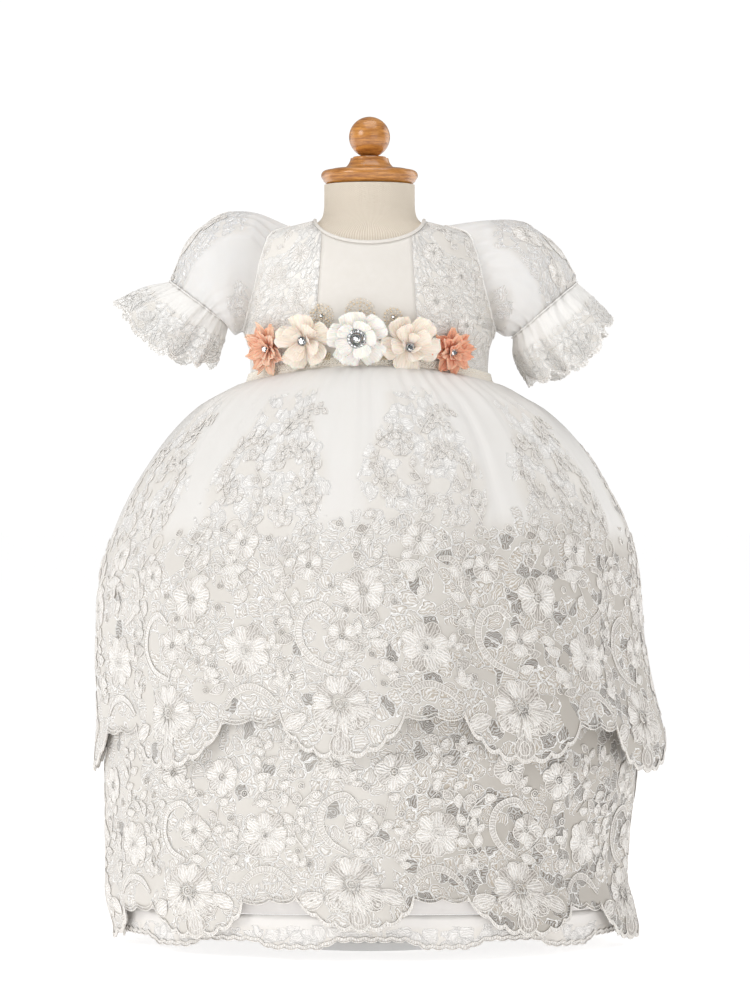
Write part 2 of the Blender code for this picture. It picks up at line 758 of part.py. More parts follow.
def skirt():
    skirt_layer(
        "skirt_upper",
        UPPER_TIER,
        hem_columns(LACE_REPEATS, 10, 4, SCALLOP_SHARE, UPPER_PHASE),
        (0.0, 0.012, 0.058, 0.145, 0.29, 0.47, 0.69, 1.0),
        lambda angle: WAIST_SIDE - SEAM_GAP,
        scalloped_hem(UPPER_HEM, 0.0300, 0.0020),
        SKIRT_WALL,
        lace,
        tuck=0.0011,
    )
    skirt_layer(
        "skirt_lower",
        LOWER_TIER,
        hem_columns(LACE_REPEATS, 8, 4, SCALLOP_SHARE, LOWER_PHASE),
        (0.0, 0.30, 0.68, 1.0),
        lambda angle: LOWER_TOP,
        scalloped_hem(LOWER_HEM, 0.0240, 0.0018),
        SKIRT_WALL,
        lace,
        tuck=0.0003,
        folds=0.6,
    )


def petticoat_hem(angle, rise=0.0):
    """The petticoat drops below the lifted front line, so that it shows under the lace."""
    return PETTICOAT_HEM + rise - PETTICOAT_DROP * max(0.0, -math.sin(angle)) ** 2


def petticoat():
    skirt_layer(
        "petticoat",
        PETTICOAT,
        [(i / PETTICOAT_COLUMNS, 0.0, False) for i in range(PETTICOAT_COLUMNS)],
        (0.0, 0.010, 0.05, 0.14, 0.27, 0.40, 0.555, 1.0),
        lambda angle: PETTICOAT_TOP,
        lambda angle, column: petticoat_hem(angle, EDGING_HEIGHT + SEAM_GAP),
        PETTICOAT_WALL,
        satin,
        folds=0.0,
    )
    steps = 4 * EDGING_SCALLOPS
    skirt_layer(
        "petticoat_edging",
        PETTICOAT,
        [(i / steps, (i % 4) / 2 - 1, False) for i in range(steps)],
        (0.0, 1.0),
        lambda angle: petticoat_hem(angle, EDGING_HEIGHT),
        lambda angle, column: petticoat_hem(angle, EDGING_DEPTH * column[1] ** 2),
        PETTICOAT_WALL,
        lace,
        folds=0.0,
    )


# ---- trims ---------------------------------------------------------------------------------------------------

TRIM_HEIGHT = 0.0065
TRIM_WAVES = 24
TRIM_WAVE = 0.0006
TRIM_WALL = 0.0010
TRIM_OFF = 0.0019  # from the bodice's outside to the trim's


def waist_trim():
    """A narrow frilled braid over the waist seam."""
    grid = []
    for share in (1.0, 0.0):
        ring = []
        for i in range(2 * TRIM_WAVES):
            angle = math.tau * i / (2 * TRIM_WAVES)
            height = waist_height(angle) + SEAM_GAP + TRIM_HEIGHT * share
            wave = TRIM_WAVE * (1 if i % 2 else -1) * (1 - share)
            point = body_point(angle, height)
            ring.append(point + body_normal(angle, height) * (TRIM_OFF + wave))
        grid.append(ring)
    cloth("waist_trim", grid, TRIM_WALL, lace, lambda p: Vector((0, 0, p.z)), closed=True)


def flower(row):
    """Overlapping petals as one shallow lobed cup on a hub, with its underside just off the bodice."""
    angle = body_angle(row["x"], row["height"], -1)
    place = seat_matrix(angle, row["height"], 2 * SEAM_GAP)
    petals = row["petals"]
    count = PETAL_STEPS * petals
    shape = bmesh.new()

    def ring(share, rise):
        """A lobed round: the petals reach furthest at their middles, and cup up towards their tips."""
        made = []
        for c in range(count):
            turn = math.tau * c / count
            lobe = PETAL_ROUND[c % PETAL_STEPS]
            reach = share * (1 - row["notch"] * (1 - lobe) * share**2)
            x = row["wide"] * reach * math.cos(turn + PETAL_TURN)
            y = row["tall"] * reach * math.sin(turn + PETAL_TURN) + row["above"] * share
            made.append(shape.verts.new(place @ Vector((x, y, rise + PETAL_RIDGE * share * lobe))))
        return made

    top, cup = row["lift"] + PETAL_THICKNESS, row["cup"]
    hub = HUB_RADIUS / row["wide"]
    rings = [ring(0.22, top), ring(0.62, top + 0.4 * cup), ring(1.0, top + cup)]
    rings += [ring(0.98, row["lift"] + cup), ring(0.62, row["lift"] + 0.4 * cup)]
    rings += [ring(hub, row["lift"]), ring(hub * 0.95, 0.0)]
    for inner, outer in zip(rings, rings[1:]):
        for c in range(count):
            d = (c + 1) % count
            shape.faces.new((inner[c], outer[c], outer[d], inner[d]))
    shape.faces.new(rings[0])
    shape.faces.new(rings[-1])
    closed_body(f"flower_{row['name']}", shape, petal_surfaces[row["name"].split("_")[0]])
    cluster = row["gem"] == "cluster"
    gem_lift = 3 * SEAM_GAP + top + (0.5 if cluster else 0.22) * PETAL_RIDGE
    gem_place = seat_matrix(angle, row["height"], gem_lift)
    if cluster:
        r = CLUSTER_RADIUS
        profile = [(0.0, 0.0036), (0.30 * r, 0.0030), (0.48 * r, 0.0014), (0.80 * r, 0.0026), (r, 0.0012)]
        turned(f"gem_{row['name']}", profile + [(0.9 * r, 0.0), (0.0, 0.0)], crystal, 14, gem_place)
    else:
        r = GEM_RADIUS
        profile = [(0.0, 0.0030), (0.55 * r, 0.0030), (r, 0.0014), (0.8 * r, 0.0), (0.0, 0.0)]
        turned(f"gem_{row['name']}", profile, crystal, 8, gem_place)


def rows_of(rows):
    for i in range(len(rows["name"])):
        yield {name: column[i].item() for name, column in rows.items()}


def bead_fans():
    """Small beaded rounds that lie on the centre panel and follow it."""
    for row in rows_of(BEAD_FANS):
        rings = []
        underside = ((0.4, SEAM_GAP), (1.0, SEAM_GAP))
        for share, lift in (*underside, (1.0, 0.7 * FAN_THICKNESS), (0.5, SEAM_GAP + FAN_THICKNESS)):
            ring = []
            for c in range(16):
                turn = math.tau * c / 16
                x = row["x"] + row["radius"] * share * math.cos(turn)
                height = row["height"] + row["radius"] * share * math.sin(turn)
                angle = body_angle(x, height, -1)
                ring.append(body_point(angle, height) + body_normal(angle, height) * lift)
            rings.append(ring)
        loft(f"bead_fan_{row['name']}", rings, pearl)


# ---- dress form and stand ------------------------------------------------------------------------------------


def dress_form():
    hips = (0.3600, 0.3640, 0.3780, 0.4100, 0.4500)
    chest = (0.4740, 0.4900, 0.5100, 0.5320, 0.5470, 0.5560)
    shoulders = (0.5626, 0.5665, 0.5700, 0.5740)
    heights = (*hips, *chest, *shoulders, 0.5790, 0.5860, NECK_TOP)
    rings = []
    for height in heights:
        inset = BODICE_WALL + FORM_CLEARANCE + SHOULDER_EASE * (height in (0.5560, *shoulders))
        ring = []
        for c in range(FORM_COLUMNS):
            angle = math.tau * c / FORM_COLUMNS
            point = body_point(angle, height) - body_normal(angle, height) * inset
            if height in (heights[0], heights[-1]):
                point.z = height
            ring.append(point)
        rings.append(ring)
    loft("form_torso", rings, linen)

    cap_bottom = NECK_TOP + SEAM_GAP
    cap = [(0.0, 0.6258), (0.0132, 0.6258), (0.0138, 0.6246), (0.0168, 0.6215), (0.0235, 0.6180)]
    cap += [(0.0315, 0.6157), (0.0368, 0.6138), (0.0384, 0.6108), (0.0380, 0.6070), (0.0362, 0.6044)]
    cap.append((0.0345, cap_bottom))
    turned("neck_cap", cap + [(0.0, cap_bottom)], wood, 24)

    ball_centre = 0.6416
    flat = 0.6258 + SEAM_GAP
    sink = math.degrees(math.asin((ball_centre - flat) / BALL_RADIUS))
    ball = arc((0.0, ball_centre), BALL_RADIUS, 90, -sink, 8)
    ball[0] = (0.0, ball_centre + BALL_RADIUS)
    turned("finial", ball + [(0.0, flat)], wood, 18)


def stand():
    edge = 0.0025
    foot = [(0.0, BASE_THICKNESS), (BASE_RADIUS - edge, BASE_THICKNESS)]
    foot += arc((BASE_RADIUS - edge, BASE_THICKNESS - edge), edge, 60, 0, 2) + [(BASE_RADIUS, 0.0), (0.0, 0.0)]
    turned("stand_base", foot, enamel, 28)
    bottom, top = BASE_THICKNESS + SEAM_GAP, FORM_BOTTOM - SEAM_GAP
    turned("stand_pole", [(0.0, top), (POLE_RADIUS, top), (POLE_RADIUS, bottom), (0.0, bottom)], enamel, 14)


# ---- the whole -----------------------------------------------------------------------------------------------

for old in list(bpy.data.objects):
    bpy.data.objects.remove(old)
gown = bpy.data.collections.new("christening_gown")
bpy.context.scene.collection.children.link(gown)

lace = material("lace", (0.82, 0.79, 0.74), 0.62)
satin = material("satin", (0.86, 0.83, 0.78), 0.38)
organza = material("organza", (0.84, 0.82, 0.79), 0.55)
linen = material("linen", (0.72, 0.66, 0.56), 0.85)
wood = material("wood", (0.44, 0.18, 0.06), 0.35)
enamel = material("enamel", (0.85, 0.85, 0.84), 0.40)
crystal = material("crystal", (0.75, 0.76, 0.78), 0.08, 0.6)
pearl = material("pearl", (0.85, 0.80, 0.72), 0.30)
petal_surfaces = {
    "coral": material("coral_petal", (0.86, 0.38, 0.24), 0.70),
    "blush": material("blush_petal", (0.80, 0.64, 0.52), 0.70),
    "ivory": material("ivory_petal", (0.84, 0.82, 0.77), 0.70),
}

bodice()
neck_binding()
back_buttons()
sleeves()
skirt()
petticoat()
waist_trim()
for flower_row in rows_of(FLOWERS):
    flower(flower_row)
bead_fans()
dress_form()
stand()
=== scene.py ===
import math

import bmesh
import bpy
import numpy as np
from mathutils import Matrix, Vector


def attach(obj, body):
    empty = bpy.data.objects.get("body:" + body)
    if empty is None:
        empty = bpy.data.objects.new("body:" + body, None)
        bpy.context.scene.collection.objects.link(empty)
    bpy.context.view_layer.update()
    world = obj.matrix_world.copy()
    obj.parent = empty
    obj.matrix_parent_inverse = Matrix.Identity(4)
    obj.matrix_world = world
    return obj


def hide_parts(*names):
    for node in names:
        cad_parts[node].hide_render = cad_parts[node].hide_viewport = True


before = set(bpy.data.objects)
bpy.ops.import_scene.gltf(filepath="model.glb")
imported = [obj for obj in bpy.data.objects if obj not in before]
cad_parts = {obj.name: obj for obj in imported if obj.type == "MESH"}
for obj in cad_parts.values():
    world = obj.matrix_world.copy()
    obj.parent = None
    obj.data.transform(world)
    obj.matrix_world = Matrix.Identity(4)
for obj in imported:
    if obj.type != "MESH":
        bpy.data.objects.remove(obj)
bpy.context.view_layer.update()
print("frame loaded:", len(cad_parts), "nodes")


# A table of numbers, one column to each name
def table(columns, *rows):
    return {name: np.array([row[i] for row in rows], float) for i, name in enumerate(columns.split())}


bodyRows = table(
    "height halfWidth halfDepth",
    (0.3600, 0.0700, 0.0540),
    (0.3640, 0.0840, 0.0640),
    (0.3750, 0.0940, 0.0720),
    (0.3950, 0.0985, 0.0755),
    (0.4200, 0.0975, 0.0745),
    (0.4400, 0.0955, 0.0712),
    (0.4520, 0.0945, 0.0695),
    (0.4700, 0.0955, 0.0702),
    (0.4874, 0.1000, 0.0725),
    (0.5050, 0.0995, 0.0740),
    (0.5250, 0.0965, 0.0735),
    (0.5400, 0.0930, 0.0710),
    (0.5520, 0.0880, 0.0665),
    (0.5626, 0.0810, 0.0605),
    (0.5690, 0.0640, 0.0545),
    (0.5740, 0.0450, 0.0490),
    (0.5800, 0.0400, 0.0440),
    (0.5880, 0.0391, 0.0405),
    (0.6034, 0.0391, 0.0391),
)
liftRows = table("height lift", (-0.020, 0.0200), (0.1400, 0.0210), (0.3000, 0.0170), (0.4500, 0.0124))
foldRows = table(
    "angle spread ridge",
    (-174, 9, 0.0040),
    (-151, 8, -0.0036),
    (-133, 7, 0.0042),
    (-112, 9, -0.0034),
    (-88, 10, 0.0036),
    (-66, 7, -0.0040),
    (-48, 8, 0.0038),
    (-27, 7, -0.0044),
    (-6, 8, 0.0048),
    (17, 8, -0.0032),
    (38, 9, 0.0040),
    (62, 8, -0.0036),
    (84, 9, 0.0034),
    (107, 8, -0.0038),
    (128, 9, 0.0040),
    (152, 8, -0.0034),
)
mm = 0.001
waist = {"side": 0.4450, "frontRise": 0.0124, "backRise": 0.0040}
neck = {"side": 0.0450, "sideHeight": 0.5740, "front": 0.5520, "back": 0.5620}
armhole = {"bottom": 0.4874, "top": 0.5626, "halfDepth": 0.0240}
princess = {"left": 0.0450, "right": 0.0400, "taper": 0.84}
armhole["middle"] = (armhole["top"] + armhole["bottom"]) / 2


def smooth(rows, column, at):
    x, y = rows["height"], rows[column]
    step = np.diff(x)
    slope = np.diff(y) / step
    product = slope[:-1] * slope[1:]
    total = np.where(product > 0, slope[:-1] + slope[1:], 1.0)
    tangent = np.concatenate([slope[:1], np.where(product > 0, 2 * product / total, 0.0), slope[-1:]])
    at = np.clip(at, x[0], x[-1])
    i = np.clip(np.searchsorted(x, at) - 1, 0, len(step) - 1)
    t = (at - x[i]) / step[i]
    rise = y[i] * (1 + 2 * t) * (1 - t) ** 2 + y[i + 1] * (3 - 2 * t) * t**2
    return rise + step[i] * (tangent[i] * t * (1 - t) ** 2 - tangent[i + 1] * (1 - t) * t**2)


def eased(share):
    share = np.clip(share, 0.0, 1.0)
    return share * share * (3 - 2 * share)


# A smooth curve between p1 and p2, with the points before and after them
def between(p0, p1, p2, p3, t):
    square, cube = 2 * p0 - 5 * p1 + 4 * p2 - p3, 3 * p1 - p0 - 3 * p2 + p3
    return 0.5 * (2 * p1 + (p2 - p0) * t + square * t**2 + cube * t**3)


def ringTurns(count):
    return np.linspace(0, 2 * math.pi, count, endpoint=False)


# A surface is a function of (a, b), the small steps for its normals, and which way is out
def offset(surface, a, b, lift=0.0):
    at = surface["at"]
    stepA, stepB = surface["steps"]
    across = at(a + stepA, b) - at(a - stepA, b)
    along = at(a, b + stepB) - at(a, b - stepB)
    normal = np.cross(across, along)
    normal /= np.maximum(np.linalg.norm(normal, axis=-1, keepdims=True), 1e-12)
    return at(a, b) + normal * (np.broadcast_to(lift, a.shape)[..., None] * surface["out"])


def bodyAt(angle, height):
    wide, deep = smooth(bodyRows, "halfWidth", height), smooth(bodyRows, "halfDepth", height)
    return np.stack([wide * np.cos(angle), deep * np.sin(angle), height + 0 * angle], -1)


body = {"at": bodyAt, "steps": (0.004, 0.0004), "out": 1.0}


def bodyAngle(x, height, side):
    return side * np.arccos(np.clip(x / smooth(bodyRows, "halfWidth", height), -1, 1))


def waistHeight(angle):
    rise = np.where(np.sin(angle) < 0, waist["frontRise"], waist["backRise"])
    return waist["side"] + rise * np.sin(angle) ** 2


def neckHeight(x, side):
    centre = neck["front"] if side < 0 else neck["back"]
    across = np.clip(np.abs(x) / neck["side"], 0, 1)
    return centre + (neck["sideHeight"] - centre) * (1 - np.sqrt(1 - across**2))


def newObject(name, mesh, *materials):
    for material in materials:
        mesh.materials.append(material)
    piece = bpy.data.objects.new(name, mesh)
    bpy.context.scene.collection.objects.link(piece)
    return piece


def meshFrom(name, points, faces, uv=None, values=None, crisp=False):
    mesh = bpy.data.meshes.new(name)
    mesh.from_pydata(np.asarray(points).tolist(), [], np.asarray(faces).tolist())
    if not crisp:
        mesh.shade_smooth()
    if uv is not None:
        corner = np.empty(len(mesh.loops), np.int32)
        mesh.loops.foreach_get("vertex_index", corner)
        mesh.uv_layers.new(name="cloth").data.foreach_set("uv", np.asarray(uv)[corner].ravel())
    for key, value in (values or {}).items():
        mesh.attributes.new(key, "FLOAT", "POINT").data.foreach_set("value", np.asarray(value, np.float32))
    mesh.update()
    return mesh


def gridQuads(rows, columns):
    index = np.arange(rows * columns).reshape(rows, columns)
    return np.stack([index[:-1, :-1], index[:-1, 1:], index[1:, 1:], index[1:, :-1]], -1).reshape(-1, 4)


# Cloth over a grid of (a, b), both (rows, columns); its UVs are metres along the cloth
def gridPiece(name, surface, a, b, material, lift=0.0, flip=False, thick=0.0, values=None):
    points = offset(surface, a, b, lift)
    values = {key: np.broadcast_to(value, a.shape).ravel() for key, value in (values or {}).items()}
    rows, columns = a.shape
    along = np.cumsum(np.linalg.norm(np.diff(points, axis=1, prepend=points[:, :1]), axis=2), axis=1)
    along = np.broadcast_to(along[rows // 2], (rows, columns))
    down = np.cumsum(np.linalg.norm(np.diff(points, axis=0, prepend=points[:1]), axis=2), axis=0)
    quads = gridQuads(rows, columns)
    mesh = meshFrom(
        name,
        points.reshape(-1, 3),
        quads[:, ::-1] if flip else quads,
        np.stack([along, down], -1).reshape(-1, 2),
        values,
    )
    piece = newObject(name, mesh, material)
    if thick:
        thicken(piece, thick, -1.0)
    return piece


def applyModifiers(piece):
    evaluated = piece.evaluated_get(bpy.context.evaluated_depsgraph_get())
    made = bpy.data.meshes.new_from_object(evaluated)
    old = piece.data
    piece.modifiers.clear()
    piece.data = made
    if isinstance(old, bpy.types.Mesh):
        bpy.data.meshes.remove(old)
    made.name = piece.name


def thicken(piece, thickness, offset):
    shell = piece.modifiers.new("thickness", "SOLIDIFY")
    shell.thickness = thickness
    shell.offset = offset
    applyModifiers(piece)


def placed(points, place):
    return points @ np.array(place.to_3x3()).T + np.array(place.translation)


def lathe(name, profile, material, segments=72, place=None):
    turns = ringTurns(segments)
    rings = [(r * np.cos(turns), r * np.sin(turns), np.full(segments, z)) for r, z in profile]
    points = np.concatenate([np.stack(ring, -1) for ring in rings])
    if place is not None:
        points = placed(points, place)
    index = np.arange(len(points)).reshape(len(profile), segments)
    after = np.roll(index, -1, axis=1)
    quads = np.stack([index[:-1], index[1:], after[1:], after[:-1]], -1).reshape(-1, 4)
    mesh = meshFrom(name, points, quads)
    piece = newObject(name, mesh, material)
    work = bmesh.new()
    work.from_mesh(mesh)
    bmesh.ops.remove_doubles(work, verts=work.verts, dist=1e-6)
    bmesh.ops.recalc_face_normals(work, faces=work.faces)
    work.to_mesh(mesh)
    work.free()
    mesh.set_sharp_from_angle(angle=math.radians(48))
    return piece


def arc(centre, radius, start, end, steps):
    turns = np.radians(np.linspace(start, end, steps + 1))
    return [(centre[0] + radius * math.cos(t), centre[1] + radius * math.sin(t)) for t in turns]


def joined(name, pieces):
    bpy.ops.object.select_all(action="DESELECT")
    for piece in pieces:
        piece.select_set(True)
    bpy.context.view_layer.objects.active = pieces[0]
    bpy.ops.object.join()
    pieces[0].name = pieces[0].data.name = name
    return pieces[0]


# A socket takes a link from another node, or a number or colour of its own
def feed(tree, socket, value):
    if isinstance(value, bpy.types.NodeSocket):
        tree.links.new(value, socket)
    elif socket.type == "RGBA" and len(value) == 3:
        socket.default_value = (*value, 1.0)
    else:
        socket.default_value = value


# A node with its settings and what its inputs take
def wire(tree, kind, inputs=None, **settings):
    made = tree.nodes.new(kind)
    for key, value in settings.items():
        setattr(made, key, value)
    for key, value in (inputs or {}).items():
        feed(tree, made.inputs[key], value)
    return made


def maths(tree, operation, *inputs):
    return wire(tree, "ShaderNodeMath", dict(enumerate(inputs)), operation=operation).outputs[0]


def times(tree, first, second):
    return maths(tree, "MULTIPLY", first, second)


# A wave between 0 and 1, from how many turns it has made
def waved(tree, turns, kind="SINE"):
    return maths(tree, "MULTIPLY_ADD", maths(tree, kind, times(tree, turns, 2 * math.pi)), 0.5, 0.5)


def groupTree(name, kind, inputs, outputs):
    tree = bpy.data.node_groups.new(name, kind)
    for label, socket, value in inputs:
        made = tree.interface.new_socket(label, in_out="INPUT", socket_type="NodeSocket" + socket)
        if value is not None:
            made.default_value = value
    for label, socket in outputs:
        tree.interface.new_socket(label, in_out="OUTPUT", socket_type="NodeSocket" + socket)
    return tree, tree.nodes.new("NodeGroupInput"), tree.nodes.new("NodeGroupOutput")


# How both trees end: smooth, real geometry in its material
def finished(tree, made, material, out):
    soft = wire(tree, "GeometryNodeSetShadeSmooth", {"Geometry": made.outputs[0]})
    real = wire(tree, "GeometryNodeRealizeInstances", {"Geometry": soft.outputs[0]})
    done = wire(tree, "GeometryNodeSetMaterial", {"Geometry": real.outputs[0], "Material": material})
    tree.links.new(done.outputs[0], out.inputs[0])


# Round cord along every edge line of a mesh, with the run along it kept for the twist
def cordTree():
    tree, given, out = groupTree(
        "cordAlongPath",
        "GeometryNodeTree",
        [
            ("Geometry", "Geometry", None),
            ("Cord Radius", "Float", 0.0005),
            ("Cord Sides", "Int", 4),
            ("Cord Material", "Material", None),
        ],
        [("Geometry", "Geometry")],
    )
    path, radius, sides, material = (given.outputs[i] for i in range(4))
    line = wire(tree, "GeometryNodeMeshToCurve", {"Mesh": path})
    run = tree.nodes.new("GeometryNodeSplineParameter").outputs["Length"]
    kept = {"Geometry": line.outputs[0], "Value": run, "Name": "run"}
    kept = wire(tree, "GeometryNodeStoreNamedAttribute", kept, data_type="FLOAT", domain="POINT")
    ring = wire(tree, "GeometryNodeCurvePrimitiveCircle", {"Radius": radius, "Resolution": sides})
    tube = {"Curve": kept.outputs[0], "Profile Curve": ring.outputs[0], "Fill Caps": True}
    finished(tree, wire(tree, "GeometryNodeCurveToMesh", tube), material, out)
    return tree


# A bead on every point, each a little larger or smaller than the next
def beadTree():
    tree, given, out = groupTree(
        "beadsOnPoints",
        "GeometryNodeTree",
        [
            ("Geometry", "Geometry", None),
            ("Bead Radius", "Float", 0.0008),
            ("Bead Detail", "Int", 2),
            ("Size Variation", "Float", 0.15),
            ("Seed", "Int", 4),
            ("Bead Material", "Material", None),
        ],
        [("Geometry", "Geometry")],
    )
    points, radius, detail, variation, seed, material = (given.outputs[i] for i in range(6))
    ball = wire(tree, "GeometryNodeMeshIcoSphere", {"Radius": radius, "Subdivisions": detail})
    sizes = {"Seed": seed, 2: maths(tree, "SUBTRACT", 1.0, variation), 3: maths(tree, "ADD", 1.0, variation)}
    size = wire(tree, "FunctionNodeRandomValue", sizes, data_type="FLOAT")
    strung = {"Points": points, "Instance": ball.outputs[0], "Scale": size.outputs[1]}
    finished(tree, wire(tree, "GeometryNodeInstanceOnPoints", strung), material, out)
    return tree


# A plain mesh made by a Geometry Nodes tree from points and edges
def grown(name, tree, points, edges, inputs):
    mesh = bpy.data.meshes.new(name)
    mesh.from_pydata(np.asarray(points).tolist(), np.asarray(edges).tolist() if len(edges) else [], [])
    piece = newObject(name, mesh)
    modifier = piece.modifiers.new("nodes", "NODES")
    modifier.node_group = tree
    for item in tree.interface.items_tree:
        if item.in_out == "INPUT" and item.name in inputs:
            modifier[item.identifier] = inputs[item.name]
    applyModifiers(piece)
    return piece


cords, beads = cordTree(), beadTree()


def cordPiece(name, lines, radius, material, sides=6, closed=False):
    points, edges = [], []
    for line in lines:
        start = len(points)
        points.extend(line)
        edges += [(start + i, start + i + 1) for i in range(len(line) - 1)]
        if closed:
            edges.append((start + len(line) - 1, start))
    inputs = {"Cord Radius": radius, "Cord Sides": sides, "Cord Material": material}
    return grown(name, cords, points, edges, inputs)


def beadPiece(name, points, radius, variation, seed, material):
    inputs = {"Bead Radius": radius, "Bead Detail": 1, "Size Variation": variation, "Seed": seed}
    return grown(name, beads, points, [], {**inputs, "Bead Material": material})


def newMaterial(name, colour, roughness, **settings):
    made = bpy.data.materials.new(name)
    made.use_nodes = True
    made.diffuse_color = (*colour, 1.0)
    shader = made.node_tree.nodes["Principled BSDF"]
    for key, value in {"Base Color": colour, "Roughness": roughness, **settings}.items():
        feed(made.node_tree, shader.inputs[key], value)
    return made, made.node_tree, shader


def mixColour(tree, share, first, second):
    return wire(tree, "ShaderNodeMix", {0: share, 6: first, 7: second}, data_type="RGBA").outputs[2]


def paint(tree, shader, colour):
    tree.links.new(colour, shader.inputs["Base Color"])


def tint(colour, share):
    return tuple(share * value for value in colour)


def attribute(tree, name):
    return wire(tree, "ShaderNodeAttribute", attribute_name=name).outputs["Fac"]


def grouped(tree, group, *inputs):
    return wire(tree, "ShaderNodeGroup", dict(enumerate(inputs)), node_tree=group)


# A colour ramp through (position, colour) stops
def ramped(tree, value, *stops):
    made = wire(tree, "ShaderNodeValToRGB", {0: value})
    elements = made.color_ramp.elements
    for position, _ in stops[1:-1]:
        elements.new(position)
    for element, (position, colour) in zip(elements, stops):
        element.position = position
        element.color = (*colour, 1)
    return made.outputs[0]


def bump(tree, shader, height, strength, distance):
    made = wire(tree, "ShaderNodeBump", {"Height": height, "Strength": strength, "Distance": distance})
    tree.links.new(made.outputs[0], shader.inputs["Normal"])


def noise(tree, coordinate, scale, detail=2.0, output=0):
    made = wire(tree, "ShaderNodeTexNoise", {"Vector": coordinate, "Scale": scale, "Detail": detail})
    return made.outputs[output]


# Height and shade of a plain weave from coordinates in metres
def weaveGroup():
    tree, given, out = groupTree(
        "clothWeave",
        "ShaderNodeTree",
        [("Cloth", "Vector", None), ("Threads per Metre", "Float", 900.0)],
        [("Height", "Float"), ("Shade", "Float")],
    )
    split = wire(tree, "ShaderNodeSeparateXYZ", {0: given.outputs[0]})
    waves = []
    for axis in (0, 1):
        turns = times(tree, split.outputs[axis], given.outputs[1])
        waves.append(maths(tree, "SINE", times(tree, turns, 2 * math.pi)))
    weave = maths(tree, "MULTIPLY_ADD", times(tree, *waves), 0.5, 0.5)
    uneven = noise(tree, given.outputs[0], 160.0, 3.0)
    tree.links.new(times(tree, weave, uneven), out.inputs[0])
    tree.links.new(uneven, out.inputs[1])
    return tree


# Height and shade of satin stitch: threads across the coordinate `thread`
def stitchGroup():
    tree, given, out = groupTree(
        "satinStitch",
        "ShaderNodeTree",
        [
            ("Thread", "Float", 0.0),
            ("Thread Width", "Float", 0.0012),
            ("Place", "Vector", None),
        ],
        [("Height", "Float"), ("Shade", "Float")],
    )
    thread, width, spot = (given.outputs[i] for i in range(3))
    stray = times(tree, noise(tree, spot, 320.0), 1.6)
    height = waved(tree, maths(tree, "ADD", maths(tree, "DIVIDE", thread, width), stray))
    tree.links.new(height, out.inputs[0])
    patchy = maths(tree, "MULTIPLY_ADD", noise(tree, spot, 260.0), 0.8, 0.6)
    tree.links.new(times(tree, maths(tree, "POWER", height, 0.45), patchy), out.inputs[1])
    return tree


def ranged(tree, value, start, end, low=0.0, high=1.0):
    inputs = {"Value": value, "From Min": start, "From Max": end, "To Min": low, "To Max": high}
    return wire(tree, "ShaderNodeMapRange", inputs, interpolation_type="SMOOTHSTEP").outputs["Result"]


